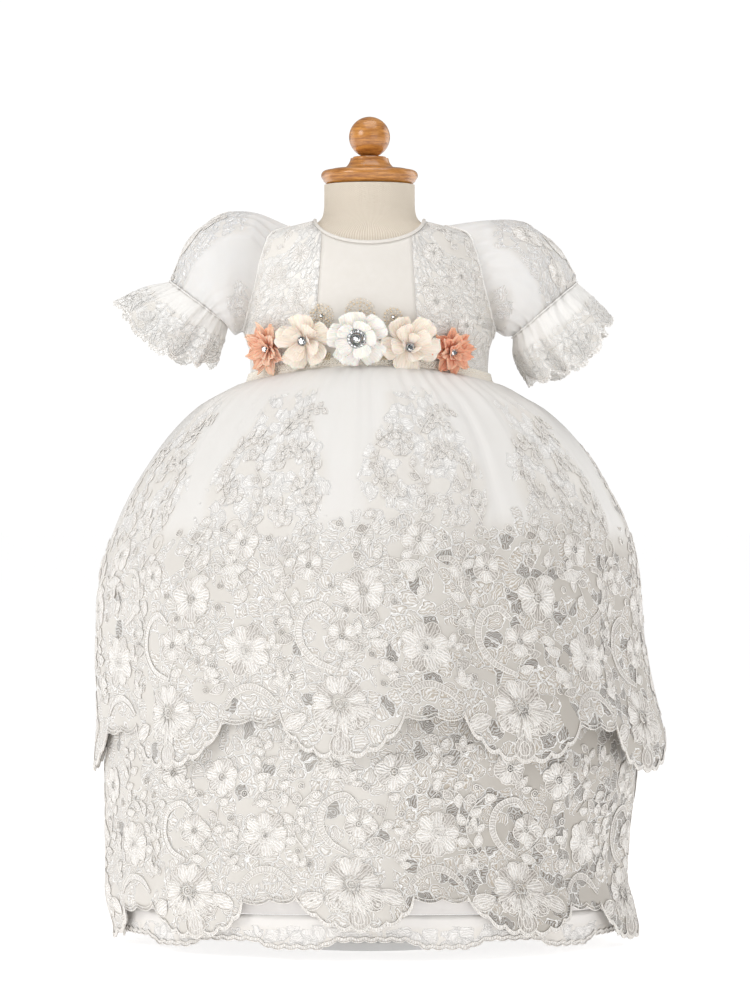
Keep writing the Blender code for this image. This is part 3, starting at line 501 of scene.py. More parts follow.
# Machine lace: petal-like cells, each stitched its own way, with corded edges
def embroideryGroup():
    tree, given, out = groupTree(
        "machineLace",
        "ShaderNodeTree",
        [
            ("Cloth", "Vector", None),
            ("Density", "Float", 0.8),
            ("Dark Share", "Float", 0.1),
            ("Cells per Metre", "Float", 130.0),
            ("Thread Width", "Float", 0.0020),
        ],
        [(label, "Float") for label in ("Lace", "Stitch", "Cord", "Crease", "Dark", "Height")],
    )
    cloth, density, darkShare, scale, thread = (given.outputs[i] for i in range(5))

    def vector(operation, inputs):
        return wire(tree, "ShaderNodeVectorMath", inputs, operation=operation).outputs[0]

    # cells bent a little out of true, each with its own chances
    bend = vector("SUBTRACT", {0: noise(tree, cloth, 110.0, 2.0, "Color"), 1: (0.5, 0.5, 0.5)})
    bent = vector("ADD", {0: cloth, 1: vector("SCALE", {0: bend, "Scale": 0.010})})
    place = {"Vector": bent, "Scale": scale}
    cells = wire(tree, "ShaderNodeTexVoronoi", place, voronoi_dimensions="2D")
    edges = wire(tree, "ShaderNodeTexVoronoi", place, voronoi_dimensions="2D", feature="DISTANCE_TO_EDGE")
    chance = wire(tree, "ShaderNodeSeparateColor", {0: cells.outputs["Color"]})
    openings = ranged(tree, noise(tree, cloth, 26.0, 1.0), 0.60, 0.63)
    kept = maths(tree, "LESS_THAN", chance.outputs[0], maths(tree, "MULTIPLY_ADD", openings, -0.9, density))

    # satin stitch across each cell its own way, or curls of couched thread
    local = vector("SUBTRACT", {0: bent, 1: cells.outputs["Position"]})
    local = wire(tree, "ShaderNodeSeparateXYZ", {0: local})
    angle = times(tree, chance.outputs[1], 2 * math.pi)
    across = times(tree, local.outputs[0], maths(tree, "COSINE", angle))
    across = maths(tree, "MULTIPLY_ADD", local.outputs[1], maths(tree, "SINE", angle), across)
    turns = maths(tree, "DIVIDE", across, thread)
    satin = maths(tree, "ADD", turns, times(tree, noise(tree, cloth, 400.0, 1.0), 1.2))
    curls = times(tree, noise(tree, cloth, 150.0, 0.0), 8.5)
    isCurls = maths(tree, "LESS_THAN", chance.outputs[2], 0.62)
    turns = wire(tree, "ShaderNodeMix", {0: isCurls, 2: satin, 3: curls}).outputs[0]
    hatch = waved(tree, turns, "COSINE")

    # the petal inside its cell, the cord along its edge and the crease inside the cord, a groove in the relief that
    # the lace also paints as shade
    inside = maths(tree, "SUBTRACT", 0.66, cells.outputs["Distance"])
    edge = maths(tree, "SMOOTH_MIN", edges.outputs["Distance"], inside, 0.08)
    petal = times(tree, kept, ranged(tree, edge, 0.0, 0.015))
    cord = times(tree, ranged(tree, edge, 0.045, 0.075, 1.0, 0.0), petal)
    creaseShade = times(tree, ranged(tree, edge, 0.06, 0.08), ranged(tree, edge, 0.09, 0.13, 1.0, 0.0))
    creaseShaded = times(tree, creaseShade, petal)
    spread = maths(tree, "FRACT", times(tree, chance.outputs[0], 37.0))
    darkThreadAndShade = times(tree, maths(tree, "LESS_THAN", spread, darkShare), petal)
    height = times(tree, maths(tree, "MULTIPLY_ADD", hatch, 0.40, 0.30), petal)
    height = maths(tree, "MULTIPLY_ADD", cord, 0.4, height)
    height = maths(tree, "MULTIPLY_ADD", creaseShaded, -0.25, height)
    for i, value in enumerate((petal, maths(tree, "POWER", hatch, 1.1), cord, creaseShaded, darkThreadAndShade, height)):
        tree.links.new(value, out.inputs[i])
    return tree


weave, stitch, embroidery = weaveGroup(), stitchGroup(), embroideryGroup()


def clothCoordinate(tree):
    return tree.nodes.new("ShaderNodeUVMap").outputs[0]


def objectCoordinate(tree):
    return tree.nodes.new("ShaderNodeTexCoord").outputs["Object"]


def wovenMaterial(name, colour, darker, roughness, threads, strength):
    made, tree, shader = newMaterial(name, colour, roughness)
    group = grouped(tree, weave, clothCoordinate(tree), threads)
    patchy = noise(tree, objectCoordinate(tree), 30.0, 3.0)
    shade = times(tree, times(tree, patchy, group.outputs[1]), 1.6)
    paint(tree, shader, mixColour(tree, shade, darker, colour))
    bump(tree, shader, group.outputs[0], strength, 0.0002)
    return made


# Net with machine lace over it; the attribute lace says how much, and the second attribute how dark: darker thread
# with painted shade
def laceMaterial(name, net, thread, shadow, darkThreadAndShade, cells, roughness, raised=0.0009):
    made, tree, shader = newMaterial(name, net, roughness)
    uv, lace, deep = clothCoordinate(tree), attribute(tree, "lace"), attribute(tree, "darkThreadAndShade")
    group = grouped(tree, embroidery, uv, lace, maths(tree, "SUBTRACT", deep, 0.20), cells)

    # the net between the motifs: darker and warmer under the lace, partly its own tone and partly painted shade
    # between the motifs, then painted shade where the second attribute is high
    patchy = noise(tree, objectCoordinate(tree), 45.0, 3.0)
    shadeUnderLace = maths(tree, "MULTIPLY_ADD", patchy, 0.4, times(tree, lace, 0.9))
    ground = mixColour(tree, shadeUnderLace, net, (0.94 * net[0], 0.92 * net[1], 0.89 * net[2]))
    shaded = times(tree, maths(tree, "MULTIPLY_ADD", deep, 2.2, -0.26), lace)
    ground = mixColour(tree, shaded, ground, (0.60 * net[0], 0.57 * net[1], 0.53 * net[2]))

    # light and dark stitching, with painted shadow between the threads; gaps, threads and darker cells take more
    # painted shade as the second attribute grows
    pale = tuple(value + 0.88 * (light - value) for value, light in zip(shadow, net))
    gap = mixColour(tree, times(tree, deep, 2.6), pale, shadow)
    shadedThread = mixColour(tree, times(tree, deep, 1.8), thread, tint(thread, 0.78))
    stitched = mixColour(tree, maths(tree, "MULTIPLY_ADD", group.outputs["Stitch"], 0.9, 0.1), gap, shadedThread)
    faint = tuple((value + light) / 2 for value, light in zip(darkThreadAndShade, net))
    deepest = mixColour(tree, times(tree, deep, 3.0), faint, darkThreadAndShade)
    darkened = mixColour(tree, group.outputs["Stitch"], deepest, tint(thread, 0.62))
    stitched = mixColour(tree, group.outputs["Dark"], stitched, darkened)
    colour = mixColour(tree, group.outputs["Lace"], ground, stitched)
    # painted shadow along the crease inside each cord, darker where the second attribute is high
    between = mixColour(tree, times(tree, deep, 3.0), tint(pale, 0.9), tint(shadow, 0.8))
    colour = mixColour(tree, times(tree, group.outputs["Crease"], 0.6), colour, between)

    # stitching fades into the net in places
    places = ranged(tree, noise(tree, objectCoordinate(tree), 38.0), 0.46, 0.64)
    dull = times(tree, places, maths(tree, "SUBTRACT", 0.22, times(tree, deep, 0.3)))
    colour = mixColour(tree, dull, colour, ground)
    paint(tree, shader, mixColour(tree, group.outputs["Cord"], colour, thread))
    bump(tree, shader, group.outputs["Height"], 0.8, raised)
    return made


# Satin stitch: light threads over gaps of painted shadow, some motifs in a darker thread, and painted shade round
# each patch's rim under its cord
def threadMaterial(name, colour, shadow, darkThreadAndShade, roughness, thread=0.0022):
    made, tree, shader = newMaterial(name, colour, roughness, **{"Sheen Weight": 0.25, "Sheen Roughness": 0.4})
    group = grouped(tree, stitch, attribute(tree, "thread"), thread, objectCoordinate(tree))
    light = mixColour(tree, group.outputs[1], shadow, colour)
    deep = mixColour(tree, group.outputs[1], darkThreadAndShade, (0.66, 0.62, 0.58))
    worked = mixColour(tree, attribute(tree, "tone"), light, deep)
    # painted shade round the patch's rim, under its cord
    creaseShaded = times(tree, ranged(tree, attribute(tree, "rim"), 0.72, 0.95), 0.75)
    paint(tree, shader, mixColour(tree, creaseShaded, worked, tint(shadow, 0.75)))
    bump(tree, shader, group.outputs[0], 0.9, 0.0005)
    return made


def cordMaterial(name, colour, shadow, roughness, twist=0.0016):
    made, tree, shader = newMaterial(name, colour, roughness)
    turns = times(tree, attribute(tree, "run"), 2 * math.pi / twist)
    wave = maths(tree, "MULTIPLY_ADD", maths(tree, "SINE", turns), 0.5, 0.5)
    paint(tree, shader, mixColour(tree, times(tree, wave, 0.8), shadow, colour))
    bump(tree, shader, wave, 0.5, 0.0003)
    return made


# Chiffon petal: veins fan out along it, deeper towards its root, with painted shade in random patches and along its
# pleats
def petalMaterial(name, colour, deep, pale, creaseShading):
    finish = {"Sheen Weight": 0.35, "Subsurface Weight": 0.5, "Subsurface Radius": (0.006, 0.004, 0.003)}
    made, tree, shader = newMaterial(name, colour, 0.72, **finish)
    split = wire(tree, "ShaderNodeSeparateXYZ", {0: clothCoordinate(tree)})
    wobble = times(tree, noise(tree, objectCoordinate(tree), 180.0), 3.0)
    veins = maths(tree, "SINE", maths(tree, "ADD", times(tree, split.outputs[0], 60.0), wobble))
    veins = maths(tree, "MULTIPLY_ADD", veins, 0.5, 0.5)
    base = mixColour(tree, ranged(tree, split.outputs[1], 0.0, 0.55, 0.2, 1.0), deep, colour)
    # painted shade: random patches of the deep colour, as if some petals were lit and others shaded
    patchyShade = ranged(tree, noise(tree, objectCoordinate(tree), 75.0, 1.0), 0.45, 0.62, 0.0, 0.6 * creaseShading)
    base = mixColour(tree, times(tree, veins, 0.13), mixColour(tree, patchyShade, base, deep), pale)
    # painted shade along the pleat lines, fading towards the tip
    bent = maths(tree, "MULTIPLY_ADD", wobble, 0.02, split.outputs[0])
    middle = maths(tree, "SUBTRACT", maths(tree, "FRACT", times(tree, bent, 3.0)), 0.5)
    creaseShade = ranged(tree, maths(tree, "ABSOLUTE", middle), 0.02, 0.16, creaseShading, 0.0)
    creaseShade = times(tree, creaseShade, ranged(tree, split.outputs[1], 0.95, 0.5))
    paint(tree, shader, mixColour(tree, creaseShade, base, tint(deep, 0.9)))
    bump(tree, shader, maths(tree, "SUBTRACT", veins, times(tree, creaseShade, 2.0)), 0.35, 0.0006)
    return made


# each lace: its net, thread, shadow and dark colours, cells to a metre, roughness and relief
laceSets = {
    "laceOverNet": ((0.80, 0.782, 0.757), (0.985, 0.97, 0.95), (0.44, 0.37, 0.29), (0.20, 0.165, 0.13), 86.0, 0.55),
    "laceOverSatin": (
        (0.90, 0.88, 0.85), (0.98, 0.97, 0.95), (0.72, 0.655, 0.58), (0.46, 0.41, 0.36), 135.0, 0.5, 0.0008
    ),
    "laceOverOrganza": (
        (0.78, 0.77, 0.76), (0.98, 0.97, 0.96), (0.58, 0.52, 0.46), (0.46, 0.41, 0.36), 140.0, 0.5, 0.0012
    ),
    "laceOnPetticoat": ((0.86, 0.835, 0.81), (0.95, 0.93, 0.91), (0.78, 0.74, 0.70), (0.5, 0.46, 0.42), 95.0, 0.6),
    "laceEdging": (
        (0.865, 0.85, 0.825), (0.98, 0.975, 0.96), (0.78, 0.725, 0.66), (0.55, 0.50, 0.45), 130.0, 0.5, 0.0007
    ),
}
laces = {name: laceMaterial(name, *values) for name, values in laceSets.items()}
organzaShader = laces["laceOverOrganza"].node_tree.nodes["Principled BSDF"]
organzaShader.inputs["Subsurface Weight"].default_value = 0.6
organzaShader.inputs["Subsurface Radius"].default_value = (0.010, 0.0095, 0.009)
satinCloth = wovenMaterial("ivorySatin", (0.785, 0.75, 0.705), (0.73, 0.69, 0.635), 0.42, 1500.0, 0.15)
petticoatCloth = wovenMaterial("petticoatNet", (0.74, 0.715, 0.695), (0.66, 0.63, 0.61), 0.6, 800.0, 0.3)
laceThread = threadMaterial("laceStitching", (0.945, 0.925, 0.90), (0.735, 0.68, 0.615), (0.24, 0.205, 0.17), 0.5)
laceCord = cordMaterial("laceCording", (0.98, 0.97, 0.95), (0.84, 0.79, 0.73), 0.5)
whiteCord = cordMaterial("whiteCording", (0.98, 0.975, 0.96), (0.89, 0.86, 0.82), 0.55)
trimCord = cordMaterial("waistCording", (1.0, 0.98, 0.94), (0.97, 0.89, 0.76), 0.55)
goldBraid = cordMaterial("goldenBraid", (0.90, 0.80, 0.62), (0.66, 0.54, 0.36), 0.45)
coralPetal = petalMaterial("coralChiffon", (1.0, 0.67, 0.49), (0.90, 0.34, 0.17), (1.0, 0.84, 0.70), 0.6)
# painted shade: a darker copy of the coral chiffon for the flower on the gown's shaded right
coralShade = petalMaterial("shadedCoralChiffon", (0.98, 0.55, 0.37), (0.84, 0.26, 0.12), (1.0, 0.76, 0.60), 0.7)
blushPetal = petalMaterial("blushChiffon", (0.96, 0.86, 0.76), (0.87, 0.70, 0.56), (0.99, 0.93, 0.86), 0.35)
ivoryPetal = petalMaterial("ivoryChiffon", (0.93, 0.90, 0.85), (0.87, 0.82, 0.75), (0.97, 0.955, 0.93), 0.2)
print("materials made")


# Lace motifs are drawn flat, most of them by numbers in mm, then laid on a surface
laceSet = {"under": 0.00025, "dome": 0.0007, "cordRadius": 0.00050, "cordLift": 0.0006, "cordSides": 3}
petalForms = {"fan": (1.75, 0.62), "leaf": (0.95, 0.95), "round": (1.25, 0.5)}


def newPlan():
    lists = ("at", "lift", "thread", "tone", "rim", "quads", "line", "edges")
    return {"count": 0, "cordCount": 0, **{key: [] for key in lists}}


def addPatch(plan, grid, thread, lift, tone, rim=0.0):
    rows, columns = grid.shape[:2]
    plan["rim"].append(np.broadcast_to(rim, (rows, columns)).ravel())
    plan["quads"].append(gridQuads(rows, columns) + plan["count"])
    plan["at"].append(grid.reshape(-1, 2))
    plan["thread"].append(np.broadcast_to(thread, (rows, columns)).ravel())
    plan["lift"].append(np.broadcast_to(lift, (rows, columns)).ravel())
    plan["tone"].append(np.full(rows * columns, tone))
    plan["count"] += rows * columns


# A line over u at a height, and a grid of such lines
def lineAt(u, height):
    return np.stack([u, 0 * u + height], -1)


def stripAt(u, *heights):
    return np.stack([lineAt(u, height) for height in heights], 0)


# A step from a place in the direction of an angle
def along(x, y, turn, reach):
    return x + reach * math.cos(turn), y + reach * math.sin(turn)


def addCord(plan, line, closed=False):
    start, count = plan["cordCount"], len(line)
    ends = np.arange(start, start + count)
    pairs = np.stack([ends, np.roll(ends, -1)], -1)
    plan["edges"].append(pairs if closed else pairs[:-1])
    plan["line"].append(np.asarray(line, float))
    plan["cordCount"] += count


def turned(points, x, y, turn):
    c, s = math.cos(turn), math.sin(turn)
    return points @ np.array([[c, s], [-s, c]]) + np.array([x, y])


def addPetal(plan, x, y, turn, length, width, form="leaf", tone=0.0, bend=0.0, outlined=True):
    power, blunt = petalForms[form]

    def spot(t, s):
        half = width / 2 * np.sin(np.pi * np.clip(t, 0.01, 0.985) ** power) ** blunt
        return np.stack([length * t + 0 * s, half * s + bend * length * np.sin(np.pi * t)], -1), half * s

    t, s = np.meshgrid(np.linspace(0.02, 0.98, 6), np.linspace(-1, 1, 5), indexing="ij")
    grid, across = spot(t, s)
    thread = length * t + 0.8 * np.abs(across) if form == "leaf" else across
    lift = laceSet["under"] + laceSet["dome"] * (1 - s**2) * np.sin(np.pi * t) ** 0.5
    addPatch(plan, turned(grid.reshape(-1, 2), x, y, turn).reshape(6, 5, 2), thread, lift, tone, np.abs(s))
    if outlined:
        t = np.linspace(0.0, 0.97, 7)
        edge = np.concatenate([spot(t, np.full(7, -1.0))[0], spot(t[::-1][:-1], np.full(6, 1.0))[0]])
        addCord(plan, turned(edge, x, y, turn), closed=True)


def addRing(plan, x, y, radius, steps=9):
    turns = ringTurns(steps)
    addCord(plan, np.stack([x + radius * np.cos(turns), y + radius * np.sin(turns)], -1), closed=True)


# A smooth line through flat points
def curved(points):
    points = np.array(points, float)
    padded = np.concatenate([2 * points[:1] - points[1:2], points, 2 * points[-1:] - points[-2:-1]])
    steps = 5
    made = [between(*padded[i : i + 4], t) for i in range(len(points) - 1) for t in np.arange(steps) / steps]
    return np.array([*made, points[-1]])


def sidesOf(line, half):
    way = np.gradient(line, axis=0)
    way /= np.linalg.norm(way, axis=1, keepdims=True)
    side = np.stack([-way[:, 1], way[:, 0]], -1)
    return line + side * half, line - side * half


# A ribbon of cross stitches between two cords, along a curved line
def addBand(plan, points, width, tone=0.0):
    line = curved(np.array(points) * mm)
    taper = np.sin(np.linspace(0.25, np.pi - 0.25, len(line))) ** 0.5
    left, right = sidesOf(line, (width * mm / 2 * taper)[:, None])
    run = np.concatenate([[0], np.cumsum(np.linalg.norm(np.diff(line, axis=0), axis=1))])
    grid = np.stack([left, line, right], 1)
    low, high = laceSet["under"], laceSet["under"] + 0.8 * laceSet["dome"]
    addPatch(plan, grid, run[:, None], np.array([low, high, low]), tone, np.array([1.0, 0.0, 1.0]))
    addCord(plan, np.concatenate([left, right[::-1]]), closed=True)


def addFlower(plan, x, y, radius, petals, turn=0.0, tones=(0.0,), form="round", squash=1.0):
    x, y, radius = x * mm, y * mm, radius * mm
    for i in range(petals):
        angle = turn + 2 * math.pi * i / petals
        reach = radius * (1 if i % 2 else 0.92)
        root, width = along(x, y, angle, 0.2 * reach), 5.2 * radius / petals * squash
        addPetal(plan, *root, angle, 0.8 * reach, width, form, tones[i % len(tones)])
    addRing(plan, x, y, 0.24 * radius, 8)
    addRing(plan, x, y, 0.11 * radius, 6)


# A curved stem with leaves set on alternate sides
def addStem(plan, points, leaf, width, count, tone=0.0):
    line = curved(np.array(points) * mm)
    addCord(plan, line)
    way = np.gradient(line, axis=0)
    for k in range(count):
        i = int((k + 0.6) / count * (len(line) - 1))
        side = 1 if k % 2 else -1
        turn = math.atan2(way[i, 1], way[i, 0]) + side * 0.85
        length = leaf * mm * (1 - 0.25 * k / count)
        addPetal(plan, *line[i], turn, length, width * mm, "leaf", tone if k % 3 == 2 else 0.0, 0.08 * side)


def addScroll(plan, x, y, radius, start, turns):
    t = np.linspace(0, 1, 16)
    angle = start + 2 * math.pi * turns * t
    reach = radius * mm * (1 - 0.75 * t)
    addCord(plan, np.stack([x * mm + reach * np.cos(angle), y * mm + reach * np.sin(angle)], -1))


def addLeaf(plan, x, y, turn, length, width, tone=0.0, bend=0.1):
    addPetal(plan, x * mm, y * mm, math.radians(turn), length * mm, width * mm, "leaf", tone, bend)


# A leaf between two smaller ones
def addSprig(plan, x, y, turn, tone, sideTone):
    addLeaf(plan, x, y, turn, 12, 6, tone)
    addLeaf(plan, x, y, turn + 55, 9, 5, sideTone)
    addLeaf(plan, x, y, turn - 55, 9, 5, 0.0, -0.1)


def addEyelet(plan, x, y, radius):
    addRing(plan, x * mm, y * mm, radius * mm, 7)
    addRing(plan, x * mm, y * mm, 0.45 * radius * mm, 5)


# The plan's patches and cords on a surface, once for each copy; `place` turns flat points into (a, b)
def layLace(name, plan, surface, place, copies, keep=None, toneShift=None, fine=1.0, cording=None):
    at, line = np.concatenate(plan["at"]), np.concatenate(plan["line"])
    lift, thread, tone, rim = (np.concatenate(plan[key]) for key in ("lift", "thread", "tone", "rim"))
    quads, edges = np.concatenate(plan["quads"]), np.concatenate(plan["edges"])
    points, faces, threads, tones, cordPoints, cordEdges = [], [], [], [], [], []
    for copy in copies:
        a, b = place(at, copy)
        kept = quads if keep is None else quads[keep(a, b)[quads].all(axis=1)]
        faces.append(kept + len(points) * len(at))
        points.append(offset(surface, a, b, lift))
        threads.append(thread)
        shift = toneShift(points[-1]) if toneShift else 0.0
        tones.append(np.clip(tone + shift * np.where(tone > 0, 1.0, 0.4), 0, 1))
        a, b = place(line, copy)
        kept = edges if keep is None else edges[keep(a, b)[edges].all(axis=1)]
        cordEdges.append(kept + len(cordPoints) * len(line))
        cordPoints.append(offset(surface, a, b, fine * laceSet["cordLift"]))
    threads, tones = np.concatenate(threads), np.concatenate(tones)
    values = {"thread": threads, "tone": tones, "rim": np.tile(rim, len(copies))}
    mesh = meshFrom(name + "Stitching", np.concatenate(points), np.concatenate(faces), None, values)
    stitched = newObject(name + "Stitching", mesh, laceThread)
    size = {"Cord Radius": fine * laceSet["cordRadius"], "Cord Sides": laceSet["cordSides"]}
    cordPoints, cordEdges = np.concatenate(cordPoints), np.concatenate(cordEdges)
    corded = grown(name + "Cording", cords, cordPoints, cordEdges, {**size, "Cord Material": cording or laceCord})
    return stitched, corded


def trianglesOf(piece):
    return sum(len(face.vertices) - 2 for face in piece.data.polygons)


def turnTable(rows, height):
    fine = np.linspace(0, 2 * math.pi, 1441)
    wide = smooth(rows, "halfWidth", height)
    x, y = wide * np.cos(fine), wide * smooth(rows, "depth", height) * np.sin(fine)
    run = np.concatenate([[0], np.cumsum(np.hypot(np.diff(x), np.diff(y)))])
    return fine, run / run[-1]


def foldSwell(angle, share):
    away = (np.degrees(angle)[..., None] - foldRows["angle"] + 180) % 360 - 180
    return np.sum(foldRows["ridge"] * np.exp(-((away / foldRows["spread"]) ** 2)), -1) * eased(share)


def skirtSurface(rows, top, low, folds, swell=None):
    fine, run = turnTable(rows, low + 0.02)

    def at(a, b):
        angle = np.interp(a % 1.0, run, fine)
        wide = smooth(rows, "halfWidth", b)
        deep = wide * smooth(rows, "depth", b)
        out = folds * foldSwell(angle, (top - b) / (top - low)) if folds else 0.0
        if swell:
            out = out + swell(a, b) - 0.0024 * eased((top - b) / 0.16)
        rise = np.where(np.sin(angle) < 0, smooth(liftRows, "lift", b), waist["backRise"])
        x = (wide + out) * np.cos(angle) + smooth(rows, "shift", b)
        return np.stack([x, (deep + out) * np.sin(angle), b + rise * np.sin(angle) ** 2], -1)

    return {"at": at, "steps": (3e-4, 4e-4), "out": 1.0, "angle": lambda a: np.interp(a % 1.0, run, fine)}


upper = {
    "top": 0.4447,
    "low": 0.1370,
    "depth": 0.0300,
    "lobe": 0.0022,
    "phase": 0.202,
    "lobes": 7,
    "repeats": 9,
    "width": 0.146,
    "columns": 9 * 40,
    "rows": 46,
    "gathers": 63,
    "full": 0.165,
    "thick": 0.0006,
    "cover": 0.97,
    "sprays": ((0.056, 0.032, 0.298), (-0.048, 0.036, 0.302)),
}
upperRows = table(
    "height halfWidth depth shift",
    (0.1350, 0.2270, 0.840, 0.0085),
    (0.1650, 0.2252, 0.840, 0.0085),
    (0.1938, 0.2216, 0.840, 0.0050),
    (0.2322, 0.2188, 0.838, 0.0010),
    (0.2898, 0.2160, 0.830, -0.0005),
    (0.3282, 0.2062, 0.820, 0.0015),
    (0.3570, 0.1924, 0.810, 0.0010),
    (0.3858, 0.1740, 0.800, 0.0015),
    (0.4050, 0.1584, 0.790, 0.0010),
    (0.4242, 0.1376, 0.775, 0.0000),
    (0.4338, 0.1224, 0.760, -0.0010),
    (0.4405, 0.1108, 0.748, 0.0000),
    (0.4438, 0.1030, 0.742, 0.0000),
    (0.4450, 0.0960, 0.736, 0.0000),
)
# main creases of the upper tier: where, how wide, how deep, where they start below the waist and how long
# they run
creaseRows = table(
    "turn wide deep start length",
    (0.500, 0.0050, 0.0020, 0.00, 0.12),
    (0.529, 0.0040, -0.0022, 0.01, 0.16),
    (0.556, 0.0052, 0.0024, 0.00, 0.10),
    (0.583, 0.0038, -0.0026, 0.02, 0.19),
    (0.604, 0.0045, 0.0022, 0.00, 0.13),
    (0.633, 0.0036, -0.0022, 0.00, 0.15),
    (0.655, 0.0050, 0.0026, 0.01, 0.11),
    (0.684, 0.0034, -0.0022, 0.00, 0.09),
    (0.703, 0.0030, 0.0020, 0.00, 0.14),
    (0.722, 0.0032, -0.0024, 0.01, 0.12),
    (0.738, 0.0028, 0.0018, 0.00, 0.16),
    (0.752, 0.0030, -0.0022, 0.00, 0.13),
    (0.770, 0.0032, 0.0020, 0.01, 0.11),
    (0.789, 0.0040, -0.0024, 0.00, 0.14),
    (0.812, 0.0036, 0.0022, 0.00, 0.10),
    (0.836, 0.0044, -0.0024, 0.02, 0.20),
    (0.864, 0.0040, 0.0024, 0.00, 0.12),
    (0.889, 0.0048, -0.0026, 0.01, 0.21),
    (0.917, 0.0040, 0.0020, 0.00, 0.11),
    (0.944, 0.0046, -0.0022, 0.00, 0.17),
    (0.972, 0.0050, 0.0022, 0.01, 0.13),
)


# Gathers that fade unevenly below the waist, and the creases that run on from them
def upperSwell(a, b):
    down = upper["top"] - b
    turn = 2 * math.pi * a
    phase = upper["gathers"] * turn + 1.4 * np.sin(5 * turn + 1.0) + 0.8 * np.sin(11 * turn)
    reach = 0.030 + 0.030 * (0.5 + 0.5 * np.sin(13 * turn + 0.5))
    uneven = 0.65 + 0.35 * np.sin(7 * turn + 2.0)
    made = 0.0011 * np.sin(phase) * uneven * np.exp(-np.maximum(down, 0) / reach)
    for shift in (0.0, 0.5):
        for place, wide, deep, start, length in zip(*creaseRows.values()):
            away = ((a - place - shift + 0.5) % 1.0 - 0.5) / wide
            begun = eased((down - start) / 0.02)
            fade = begun * (1 - eased((down - start) / length)) + 0.10 * eased(down / 0.2)
            made = made + deep * np.exp(-(away**2)) * fade
    return made


upperSurface = skirtSurface(upperRows, upper["top"], upper["low"], 1.0, upperSwell)

lower = {
    "top": 0.2150,
    "low": 0.0052,
    "depth": 0.0240,
    "lobe": 0.0020,
    "phase": 0.322,
    "lobes": 7,
    "repeats": 9,
    "width": 0.135,
    "columns": 9 * 36,
    "rows": 28,
    "full": 0.20,
    "thick": 0.0006,
    "cover": 0.97,
    "sprays": (),
}
lowerRows = table(
    "height halfWidth depth shift",
    (-0.020, 0.2100, 0.835, 0.0050),
    (0.0110, 0.2098, 0.835, 0.0050),
    (0.0310, 0.2105, 0.835, 0.0005),
    (0.0500, 0.2090, 0.835, -0.0025),
    (0.0880, 0.2100, 0.835, -0.0018),
    (0.1360, 0.2130, 0.835, 0.0010),
    (0.2150, 0.2073, 0.8355, 0.0005),
)


def lowerSwell(a, b):
    turn = 2 * math.pi * a
    down = lower["top"] - b
    soft = 0.0010 * np.sin(23 * turn + 1.2 * np.sin(4 * turn)) * eased(down / 0.08)
    return soft + 0.0004 * np.sin(54 * turn) * np.exp(-np.maximum(down, 0) / 0.03)


lowerSurface = skirtSurface(lowerRows, lower["top"], lower["low"], 0.6, lowerSwell)

petticoatRows = table(
    "height halfWidth depth shift",
    (-0.020, 0.1970, 0.835, 0.0020),
    (0.1000, 0.1985, 0.835, 0.0000),
    (0.1600, 0.2015, 0.835, 0.0005),
    (0.2150, 0.2050, 0.835, 0.0005),
    (0.2898, 0.2060, 0.828, 0.0005),
    (0.3282, 0.1962, 0.818, 0.0010),
    (0.3570, 0.1830, 0.808, 0.0010),
    (0.3858, 0.1650, 0.798, 0.0010),
    (0.4050, 0.1500, 0.788, 0.0005),
    (0.4242, 0.1295, 0.773, 0.0000),
    (0.4338, 0.1145, 0.758, 0.0000),
    (0.4400, 0.1030, 0.748, 0.0000),
    (0.4436, 0.0948, 0.738, 0.0000),
)
petticoatSet = {
    "top": 0.4436,
    "hem": 0.0040,
    "drop": 0.0150,
    "edging": 0.0270,
    "lobes": 10,
    "lobe": 0.0060,
    "teeth": 110,
    "tooth": 0.0016,
    "thick": 0.0006,
    "edgingThick": 0.0005,
}
petticoatSurface = skirtSurface(petticoatRows, petticoatSet["top"], petticoatSet["hem"], 0.0)


# both tiers' hems: the scallop's share of a repeat and its middle, the arcs beside it, and the shell petals
# with their width's share and tone
hemSet = {
    "scallop": 0.68,
    "middle": 0.34,
    "arc": 0.0034,
    "cords": (0.6 * mm, 3.2 * mm),
    "stitched": (0.4 * mm, 3.4 * mm),
    "shellReach": (0.016, 0.062),
    "shellWidth": 15.5 * mm,
    "shells": ((0.86, 0.1), (1.0, 0.65), (0.92, 0.0), (1.08, 0.5), (0.94, 0.2), (1.02, 0.75), (0.84, 0.1)),
}


# The hem's height over its lowest points: a deep lobed scallop, then two shallow arcs
def hemRise(share, hem):
    big = hemSet["scallop"]
    across = 2 * share / big - 1
    deep = hem["depth"] * across**2 * (0.55 + 0.45 * across**2)
    lobes = hem["lobe"] * (1 - 2 * np.abs(np.sin(np.pi * hem["lobes"] * share / big)) ** 0.7)
    arcs = np.abs(np.sin(np.pi * 2 * (share - big) / (1 - big))) ** 0.8
    swag = hem["depth"] - hemSet["arc"] * arcs + 0.5 * hem["lobe"]
    return np.where(share <= big, deep + lobes, swag)


def shareOf(a, hem):
    return (a * hem["repeats"] - hem["phase"]) % 1.0


# How much of the cloth is covered, by metres from the scallop's centre and up from the hem
def laceDensity(u, v, hem):
    sprays = 0.0
    for middle, half, top in hem["sprays"]:
        middle = middle + 0.008 * np.sin(55 * v + 90 * middle)
        away = np.abs((u - middle + hem["width"] / 2) % hem["width"] - hem["width"] / 2)
        narrow = half * np.clip(1.15 - (v - hem["full"]) / (top - hem["full"]), 0, 1) ** 0.55
        sprays = np.maximum(sprays, 0.85 * eased((narrow - away) / 0.012 + 0.5) * (v < top))
    return np.maximum(hem["cover"] * (1 - eased((v - hem["full"]) / 0.03)), sprays)


